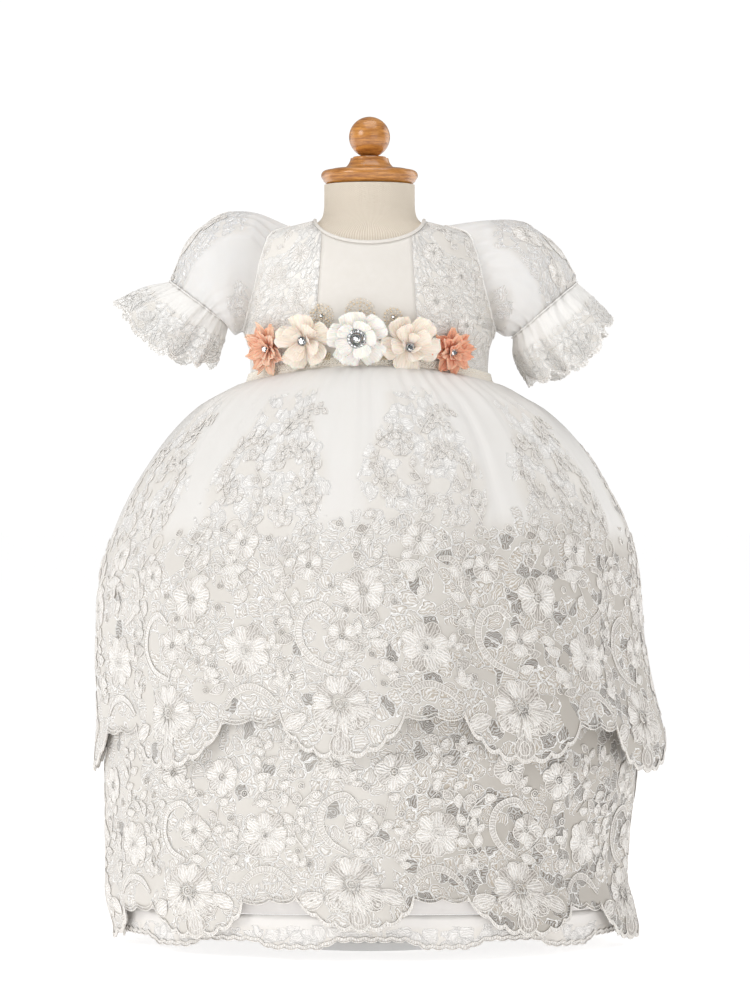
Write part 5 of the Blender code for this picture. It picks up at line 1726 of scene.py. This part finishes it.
pieces["sleeves"] = sleevePieces()
print("sleeves:", [trianglesOf(piece) for piece in pieces["sleeves"]])


# A place on the bodice whose Z axis stands off the cloth and whose Y axis points up
def seatMatrix(x, height, lift):
    angle = float(bodyAngle(np.array(x), np.array(height), -1))
    point = Vector(bodyAt(np.array(angle), np.array(height)).tolist())
    far = Vector(offset(body, np.array(angle), np.array(height), np.array(0.01)).tolist())
    out = (far - point).normalized()
    across = Vector((0, 0, 1)).cross(out).normalized()
    turn = Matrix((across, out.cross(across), out)).transposed().to_4x4()
    return Matrix.Translation(point + out * lift) @ turn


# cords round the waist (rise, out, wave, waves), picots under them and the gold braid's two runs
trimSet = {
    "cords": (
        (-0.0007, 0.0038, 0.0003, 120),
        (0.0008, 0.0028, 0.0005, 120),
        (0.0023, 0.0023, 0.0009, 90),
        (0.0040, 0.0020, 0.0009, 110),
        (0.0058, 0.0017, 0.0008, 120),
    ),
    "radius": 0.0008,
    "picot": 0.0009,
    "braids": ((-0.046, -0.030), (0.002, 0.020)),
    "braidHeight": 0.4640,
    "braidTurn": 0.0052,
    "braidRadius": 0.0006,
}


def waistTrim():
    angles = ringTurns(720)
    seam = waistHeight(angles)
    lines = []
    for rise, out, wave, waves in trimSet["cords"]:
        for phase in (0.0, math.pi):
            swing = wave * np.sin(waves * angles + phase)
            away = out + 0.5 * wave * np.cos(waves * angles + phase)
            lines.append(offset(body, angles, seam + rise + swing, away))
    trim = cordPiece("waistTrimCords", lines, trimSet["radius"], trimCord, 4, closed=True)
    tips = offset(body, angles[::6], seam[::6] - 0.0012, 0.0046)
    picots = beadPiece("waistTrimPicots", tips, trimSet["picot"], 0.15, 5, trimCord)
    braids = []
    for start, end in trimSet["braids"]:
        x = np.linspace(start, end, 40)
        for phase in (0.0, 2.1, 4.2):
            turn = 2 * math.pi * (x - start) / trimSet["braidTurn"] + phase
            height = trimSet["braidHeight"] + 0.0026 * np.sin(turn)
            braids.append(offset(body, bodyAngle(x, height, -1), height, 0.0026 + 0.0004 * np.cos(turn)))
    braid = cordPiece("goldBraidEnds", braids, trimSet["braidRadius"], goldBraid, 5)
    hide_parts("waist_trim")
    return [trim, picots, braid]


# One petal from its root at the origin along +X, cupped, folded along its middle and ruffled at its edge
def petalShape(length, width, form, cup, fold, ruffle, seed):
    rows, columns = 11, 11
    t, s = np.meshgrid(np.linspace(0, 1, rows), np.linspace(-1, 1, columns), indexing="ij")
    if form == "pointed":
        widening = 0.2 + 0.8 * np.sin(np.pi / 2 * np.clip(t / 0.62, 0, 1))
        half = width / 2 * widening * (1 - 0.6 * np.clip((t - 0.62) / 0.38, 0, 1) ** 1.6)
        x = length * t * (1 - 0.14 * np.abs(s) ** 1.3 * t) + 0.05 * length * np.sin(5 * s + seed) * t**3
    else:
        half = width / 2 * (0.22 + 0.78 * np.sin(np.pi / 2 * np.clip(t / 0.72, 0, 1)) ** 1.1)
        x = length * t * (1 - 0.16 * np.abs(s) ** 2.6 * t) + length * 0.02 * np.sin(7 * s + seed) * t**3
    y = half * s
    z = cup * t**1.6 + fold * np.abs(s) ** 1.3 * np.sin(np.pi * np.clip(t, 0, 1)) ** 0.7
    z = z + ruffle * np.sin(6.5 * s + seed) * t**2.4 + 0.35 * ruffle * np.sin(13 * s + 2 * seed) * t**3
    if form == "pointed":  # three pressed pleats
        z = z - 0.22 * fold * np.cos(3 * np.pi * s) * np.sin(np.pi * np.clip(t, 0, 0.95)) ** 0.6
    points, mark = np.stack([x, y, z], -1).reshape(-1, 3), np.stack([(s + 1) / 2, t], -1).reshape(-1, 2)
    return points, mark, gridQuads(rows, columns)


# name: x, height, up from the gem, lift off the cloth, and layers of count, length, width, turn, tilt, cup,
# fold, ruffle and height, lengths of a layer in mm
flowerSets = {
    "coral_left": (
        -0.0765,
        0.4713,
        0.0,
        0.0030,
        [
            (8, 23, 12.5, 18, 8, 2.0, 2.0, 1.0, 0.0),
            (7, 18.5, 11.0, 40, 22, 2.5, 2.4, 1.0, 1.4),
            (5, 12, 7.5, 10, 38, 2.0, 2.0, 0.5, 2.4),
        ],
    ),
    "coral_right": (
        0.0618,
        0.4677,
        0.4,
        0.0030,
        [
            (8, 20, 11.5, 6, 8, 2.0, 2.0, 1.0, 0.0),
            (7, 16.5, 10.0, 36, 22, 2.5, 2.4, 1.0, 1.4),
            (5, 10.5, 7.0, 5, 38, 2.0, 2.0, 0.5, 2.4),
        ],
    ),
    "blush_left": (
        -0.0484,
        0.4778,
        -0.5,
        0.0058,
        [
            (5, 24, 21.0, 24, 7, 2.0, -1.6, 0.9, 0.0),
            (4, 18, 15.5, 60, 20, 3.0, -1.8, 1.0, 1.6),
            (3, 11, 9.0, 10, 36, 2.5, -1.0, 0.6, 2.8),
        ],
    ),
    "blush_right": (
        0.0293,
        0.4717,
        4.0,
        0.0058,
        [
            (5, 24, 21.0, 50, 7, 2.0, -1.6, 0.9, 0.0),
            (4, 18, 15.5, 20, 20, 3.0, -1.8, 1.0, 1.6),
            (3, 11, 9.0, 70, 36, 2.5, -1.0, 0.6, 2.8),
        ],
    ),
    "ivory_centre": (
        -0.0090,
        0.4790,
        0.0,
        0.0090,
        [(5, 24, 22.0, 30, 6, 2.0, -1.0, 1.5, 0.0), (5, 17, 15.0, 0, 18, 2.5, -1.0, 1.3, 1.6)],
    ),
}


petalSet = {"thick": 0.0003, "root": 0.0012}


def flowerPiece(name, material):
    x, height, above, lift, layers = flowerSets[name]
    place = seatMatrix(x, height, lift)
    random = np.random.default_rng(sum(map(ord, name)))
    points, faces, uv, count = [], [], [], 0
    pointed = name.startswith("coral")
    form, squash, folds = ("pointed", 0.96, [1, 0.8]) if pointed else ("rounded", 0.90, None)
    for petals, length, width, turn, tilt, cup, fold, ruffle, rise in layers:
        for k in range(petals):
            angle = math.radians(turn + 360 * k / petals + random.uniform(-5, 5))
            size = random.uniform(0.93, 1.04)
            folded = fold * mm * (random.choice(folds) if pointed else 1)
            wave = random.uniform(0, 6)
            sizes = (length * mm * size, width * mm * size)
            shape, mark, quads = petalShape(*sizes, form, cup * mm, folded, ruffle * mm, wave)
            lean = Matrix.Rotation(-math.radians(tilt + random.uniform(-3, 3)), 4, "Y")
            flip = Matrix.Rotation(angle, 4, "Z") @ lean @ Matrix.Translation((petalSet["root"], 0, 0))
            moved = placed(shape, flip)
            outward = np.clip(np.linalg.norm(shape, axis=1) / (length * mm), 0, 1)
            moved[:, 1] = moved[:, 1] * squash + above * mm * outward
            moved[:, 2] += (rise + 0.25 * k) * mm * 0.8
            points.append(placed(moved, place))
            faces.append(quads + count)
            uv.append(mark)
            count += len(shape)
    mesh = meshFrom("flower" + name, np.concatenate(points), np.concatenate(faces), np.concatenate(uv))
    piece = newObject("flower" + name.title().replace("_", ""), mesh, material)
    thicken(piece, petalSet["thick"], 0.0)
    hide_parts("flower_" + name)
    return piece


# Cut stone: painted glints, each facet taking its own grey from black to white, so it sparkles in any light
def stoneMaterial():
    finish = {"Metallic": 0.85, "Coat Weight": 1.0, "Coat Roughness": 0.02}
    made, tree, shader = newMaterial("cutStone", (0.75, 0.76, 0.78), 0.04, **finish)
    facetGlint = attribute(tree, "facetGlint")
    glintGreys = ramped(tree, facetGlint, (0.0, (0.02, 0.025, 0.03)), (0.5, (0.35, 0.38, 0.40)), (1.0, (1, 1, 1)))
    paint(tree, shader, glintGreys)
    return made


def smallMetal(name, colour, roughness):
    made, tree, shader = newMaterial(name, colour, roughness, Metallic=1.0)
    rough = maths(tree, "MULTIPLY_ADD", noise(tree, objectCoordinate(tree), 900.0, 3.0), 0.25, roughness - 0.08)
    tree.links.new(rough, shader.inputs["Roughness"])
    return made


def pearlMaterial(name, colour, other):
    made, tree, shader = newMaterial(name, colour, 0.22, **{"Coat Weight": 0.6})
    patchy = noise(tree, objectCoordinate(tree), 700.0, 1.0)
    paint(tree, shader, mixColour(tree, patchy, other, colour))
    return made


cutStone = stoneMaterial()
silverCup = smallMetal("silverCup", (0.36, 0.355, 0.35), 0.25)
pearlBead = pearlMaterial("seedPearl", (0.93, 0.89, 0.82), (0.80, 0.68, 0.52))
bugleBead = pearlMaterial("goldSeedBead", (0.74, 0.56, 0.34), (0.90, 0.80, 0.64))


# A round stone: flat table, two rings of facets
def stoneMesh(radius, sides, seed):
    random = np.random.default_rng(seed)
    work = bmesh.new()
    tones = work.faces.layers.float.new("facetGlint")
    rings = []
    for reach, height, turn in ((0.50, 0.55, 0.5), (0.80, 0.40, 0.0), (1.0, 0.12, 0.5), (0.7, -0.2, 0.5)):
        turns = [2 * math.pi * (i + turn) / sides for i in range(sides)]
        ring = [(radius * reach * math.cos(t), radius * reach * math.sin(t), radius * height) for t in turns]
        rings.append([work.verts.new(point) for point in ring])
    work.faces.new(rings[0])
    for k, (inner, outer) in enumerate(zip(rings, rings[1:])):
        for i in range(sides):
            j = (i + 1) % sides
            if k == 0:
                work.faces.new((inner[i], outer[j], inner[j]))
                work.faces.new((inner[i], outer[i], outer[j]))
            else:
                work.faces.new((inner[i], outer[i], outer[j]))
                work.faces.new((inner[i], outer[j], inner[j]))
    work.faces.new(rings[-1][::-1])
    # each facet's painted glint, a grey picked at random
    for face in work.faces:
        face[tones] = random.choice([0.0, 0.15, 0.5, 0.85, 1.0, 1.0])
    bmesh.ops.recalc_face_normals(work, faces=work.faces)
    mesh = bpy.data.meshes.new("stone")
    work.to_mesh(mesh)
    work.free()
    return mesh


def stoneAt(name, place, radius, sides=8, seed=1):
    mesh = stoneMesh(radius, sides, seed)
    mesh.transform(place)
    return newObject(name, mesh, cutStone)


# stones by their radius, and profiles of their settings as (radius, height)
gemSet = {
    "stone": 0.0033,
    "clusterStone": 0.0031,
    "smallStones": 14,
    "smallStone": 0.00125,
    "cup": [
        (0.0, 0.0), (0.0030, 0.0), (0.0038, 0.0010), (0.0038, 0.0020), (0.0034, 0.0023), (0.0031, 0.0018),
        (0.0, 0.0014),
    ],
    "claw": [(0.0, 0.0009), (0.00055, 0.0005), (0.0006, -0.0006), (0.0, -0.0007)],
    "clusterCup": [(0.0, 0.0), (0.0040, 0.0), (0.0042, 0.0016), (0.0034, 0.0024), (0.0030, 0.0018), (0.0, 0.0016)],
    "clusterRim": [
        (0.0048, 0.0), (0.0074, 0.0), (0.0075, 0.0011), (0.0069, 0.0015), (0.0052, 0.0015), (0.0048, 0.0011),
        (0.0048, 0.0),
    ],
}


def gemPiece(name, lift, cluster):
    x, height = flowerSets[name][:2]
    place = seatMatrix(x, height, lift)

    def spun(turn, out, up):
        return place @ (Matrix.Rotation(turn, 4, "Z") @ Matrix.Translation((out, 0, up)))

    if cluster:
        parts = [stoneAt("stone", place @ Matrix.Translation((0, 0, 0.0020)), gemSet["clusterStone"], 8, 3)]
        parts.append(lathe("cup", gemSet["clusterCup"], silverCup, 28, place))
        for k in range(gemSet["smallStones"]):
            spot = spun(2 * math.pi * k / gemSet["smallStones"], 0.0061, 0.0012)
            parts.append(stoneAt("small", spot, gemSet["smallStone"], 6, 10 + k))
        parts.append(lathe("rim", gemSet["clusterRim"], silverCup, 40, place))
    else:
        seat = place @ Matrix.Translation((0, 0, 0.0018))
        parts = [stoneAt("stone", seat, gemSet["stone"], 8, int(abs(x) * 1e4))]
        parts.append(lathe("cup", gemSet["cup"], silverCup, 24, place))
        for k in range(4):
            parts.append(lathe("claw", gemSet["claw"], silverCup, 8, spun(math.pi * (k + 0.5) / 2, 0.0034, 0.0022)))
    piece = joined("stone" + name.title().replace("_", ""), parts)
    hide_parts("gem_" + name)
    return piece


fanSet = {"ring": 0.0026, "spacing": 0.0027, "bead": 0.00088, "lift": 0.0011, "stone": 0.0016}
fanSets = {
    "left": (-0.0372, 0.4955, 0.0092), "centre": (-0.0074, 0.4975, 0.0115), "right": (0.0184, 0.4945, 0.0070)
}


# Rings and rays of seed beads round a centre stone, lying on the satin
def beadFan(where):
    x, height, radius = fanSets[where]
    rings = {"pearl": [], "gold": []}
    count = max(3, round(radius / fanSet["ring"]))
    for k in range(1, count + 1):
        reach = radius * k / count * 0.97
        number = max(6, int(2 * math.pi * reach / fanSet["spacing"]))
        for i in range(number):
            turn = 2 * math.pi * (i + 0.5 * (k % 2)) / number
            rings["gold" if k % 2 or i % 3 == 0 else "pearl"].append(along(x, height, turn, reach))
    parts = []
    for key, material in (("pearl", pearlBead), ("gold", bugleBead)):
        spots = np.array(rings[key])
        points = offset(body, bodyAngle(spots[:, 0], spots[:, 1], -1), spots[:, 1], fanSet["lift"])
        parts.append(beadPiece("beads", points, fanSet["bead"], 0.25, 7, material))
    parts.append(stoneAt("stone", seatMatrix(x, height, fanSet["stone"]), fanSet["stone"], 6, 5))
    piece = joined("beadedRound" + where.title(), parts)
    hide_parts("bead_fan_" + where)
    return piece


pieces["trim"] = waistTrim()
for name, material in (
    ("coral_left", coralPetal), ("coral_right", coralShade), ("blush_left", blushPetal),
    ("blush_right", blushPetal), ("ivory_centre", ivoryPetal),
):
    pieces["trim"].append(flowerPiece(name, material))
for name, lift, cluster in (
    ("coral_left", 0.0066, False), ("coral_right", 0.0066, False), ("blush_left", 0.0100, False),
    ("blush_right", 0.0100, False), ("ivory_centre", 0.0128, True),
):
    pieces["trim"].append(gemPiece(name, lift, cluster))
for where in fanSets:
    pieces["trim"].append(beadFan(where))
print("trims:", [trianglesOf(piece) for piece in pieces["trim"]])


def woodMaterial():
    finish = {"Coat Weight": 0.5, "Coat Roughness": 0.15}
    made, tree, shader = newMaterial("varnishedWood", (0.45, 0.17, 0.055), 0.3, **finish)
    upright = {"Vector": objectCoordinate(tree), "Scale": (14.0, 14.0, 120.0), "Rotation": (0.1, 0.05, 0)}
    spot = wire(tree, "ShaderNodeMapping", upright).outputs[0]
    fine = noise(tree, spot, 30.0, 3.0)
    mixed = maths(tree, "MULTIPLY_ADD", fine, 0.3, times(tree, noise(tree, spot, 5.0, 6.0), 0.75))
    streaks = ramped(tree, mixed, (0.32, (0.22, 0.060, 0.008)), (0.68, (0.68, 0.30, 0.065)))
    paint(tree, shader, streaks)
    bump(tree, shader, fine, 0.08, 0.0004)
    return made


# Ribbed knit cover: fine upright ribs round the form, with painted shade in the valleys between them
def knitMaterial():
    made, tree, shader = newMaterial("ribbedKnit", (0.74, 0.65, 0.53), 0.9)
    split = wire(tree, "ShaderNodeSeparateXYZ", {0: clothCoordinate(tree)})
    ribs, rows = (times(tree, split.outputs[i], 2 * math.pi / step) for i, step in enumerate((0.0024, 0.0016)))
    ribs = maths(tree, "MULTIPLY_ADD", maths(tree, "SINE", ribs), 0.5, 0.5)
    loops = maths(tree, "MULTIPLY_ADD", maths(tree, "SINE", rows), 0.2, ribs)
    colour = mixColour(tree, times(tree, ribs, 0.8), (0.66, 0.57, 0.46), (0.85, 0.78, 0.67))
    paint(tree, shader, colour)
    bump(tree, shader, loops, 0.5, 0.0006)
    return made


def enamelMaterial():
    made, tree, shader = newMaterial("whiteEnamel", (0.84, 0.84, 0.83), 0.38)
    speck = noise(tree, objectCoordinate(tree), 90.0, 4.0)
    paint(tree, shader, mixColour(tree, speck, (0.80, 0.80, 0.79), (0.86, 0.86, 0.855)))
    tree.links.new(maths(tree, "MULTIPLY_ADD", speck, 0.2, 0.28), shader.inputs["Roughness"])
    bump(tree, shader, speck, 0.05, 0.0005)
    return made


turnedWood, ribbedKnit, whiteEnamel = woodMaterial(), knitMaterial(), enamelMaterial()


# A ball cut flat at its foot
def ballProfile(height, radius, flat):
    end = -math.degrees(math.asin((height - flat) / radius))
    return [*((max(r, 0.0), z) for r, z in arc((0.0, height), radius, 90, end, 24)), (0.0, flat)]


# the cover's depth under the body's surface, and the turned parts' profiles as (radius, height)
standSet = {
    "inset": 0.0029,
    "cap": [
        *((0.0, 0.6258), (0.0130, 0.6258), (0.0134, 0.6252), (0.0137, 0.6244)),
        *arc((0.0262, 0.6262), 0.0112, 188, 262, 6),
        (0.0300, 0.6160),
        *arc((0.0345, 0.6108), 0.0042, 100, -30, 9),
        *((0.0372, 0.6074), (0.0366, 0.6060), (0.0352, 0.6048), (0.0345, 0.6037), (0.0, 0.6037)),
    ],
    "ball": ballProfile(0.6416, 0.0164, 0.6261),
    "foot": [(0.0, 0.0080), (0.0825, 0.0080), *arc((0.0825, 0.0055), 0.0025, 75, 0, 5), (0.0850, 0.0), (0.0, 0.0)],
    "pole": [(0.0, 0.3597), (0.0100, 0.3597), (0.0100, 0.0083), (0.0, 0.0083)],
}


def formPieces():
    heights = np.concatenate([np.linspace(0.3602, 0.56, 44), np.linspace(0.5625, 0.6033, 26)])
    a, b = np.meshgrid(np.linspace(0, 2 * math.pi, 97), heights)
    torso = gridPiece("formCover", body, a, b, ribbedKnit, lift=-standSet["inset"])
    dome = lathe("neckCapWood", standSet["cap"], turnedWood, 96)
    knob = lathe("finialBall", standSet["ball"], turnedWood, 64)
    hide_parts("form_torso")
    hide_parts("neck_cap")
    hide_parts("finial")
    foot = lathe("standFoot", standSet["foot"], whiteEnamel, 128)
    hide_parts("stand_base")
    pole = lathe("standPole", standSet["pole"], whiteEnamel, 40)
    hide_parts("stand_pole")
    return [torso, dome, knob, foot, pole]


pieces["form"] = formPieces()
for number in range(1, 5):
    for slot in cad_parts[f"back_button_{number}"].material_slots:
        slot.material = satinCloth
print("form:", [trianglesOf(piece) for piece in pieces["form"]])


# each piece hangs from the root body, and its triangles are counted
total = 0
for key, group in pieces.items():
    for piece in group:
        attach(piece, "root")
        total += trianglesOf(piece)
print("triangles in all:", total)


stageSet = {
    "floorGlow": 0.72,
    "sky": 0.31,
    "seenSky": 0.73,
    "lamps": (
        ("keyLight", (-1.9, -1.5, 1.5), 1.0, 19.2),
        ("topLight", (0.1, -0.4, 2.1), 1.5, 14.5),
        ("fillLight", (1.3, -2.4, 0.9), 1.8, 9.9),
        ("leftRim", (-1.7, 0.8, 0.6), 1.4, 6),
        ("rightRim", (1.6, 0.9, 0.9), 1.4, 9),
    ),
    "lampAim": (0, 0, 0.32),
    "lens": 144,
    "camera": (0.0044, -3.2, 0.3514),
}


def stageAndCamera():
    glow = {"Emission Color": (1, 1, 1, 1), "Emission Strength": stageSet["floorGlow"]}
    floorMade, tree, shader = newMaterial("studioFloor", (0.9, 0.9, 0.9), 0.9, **glow)
    speck = noise(tree, objectCoordinate(tree), 3.0, 2.0)
    paint(tree, shader, mixColour(tree, speck, (0.89, 0.89, 0.89), (0.92, 0.92, 0.92)))
    bpy.ops.mesh.primitive_plane_add(size=80)
    floor = bpy.context.object
    floor.name = "studioFloor"
    floor.data.materials.append(floorMade)

    scene = bpy.context.scene
    scene.view_settings.view_transform = "Standard"
    world = bpy.data.worlds.new("studio")
    scene.world = world
    world.use_nodes = True
    tree = world.node_tree
    tree.nodes.clear()
    seen = wire(tree, "ShaderNodeLightPath").outputs["Is Camera Ray"]
    strength = maths(tree, "MULTIPLY_ADD", seen, stageSet["seenSky"], stageSet["sky"])
    sky = wire(tree, "ShaderNodeBackground", {"Strength": strength, "Color": (1, 1, 1, 1)})
    out = tree.nodes.new("ShaderNodeOutputWorld")
    tree.links.new(sky.outputs[0], out.inputs[0])
    for name, place, size, power in stageSet["lamps"]:
        light = bpy.data.lights.new(name, "AREA")
        light.size = size
        light.energy = power
        lamp = bpy.data.objects.new(name, light)
        lamp.location = place
        aim = Vector(stageSet["lampAim"]) - Vector(place)
        lamp.rotation_euler = aim.to_track_quat("-Z", "Y").to_euler()
        scene.collection.objects.link(lamp)
    camera = bpy.data.cameras.new("portrait")
    camera.lens = stageSet["lens"]
    camera.sensor_width = 36
    camera.clip_end = 100
    view = bpy.data.objects.new("portrait", camera)
    view.location = stageSet["camera"]
    view.rotation_euler = (math.pi / 2, 0, 0)
    scene.collection.objects.link(view)
    scene.camera = view


stageAndCamera()
print("stage set")
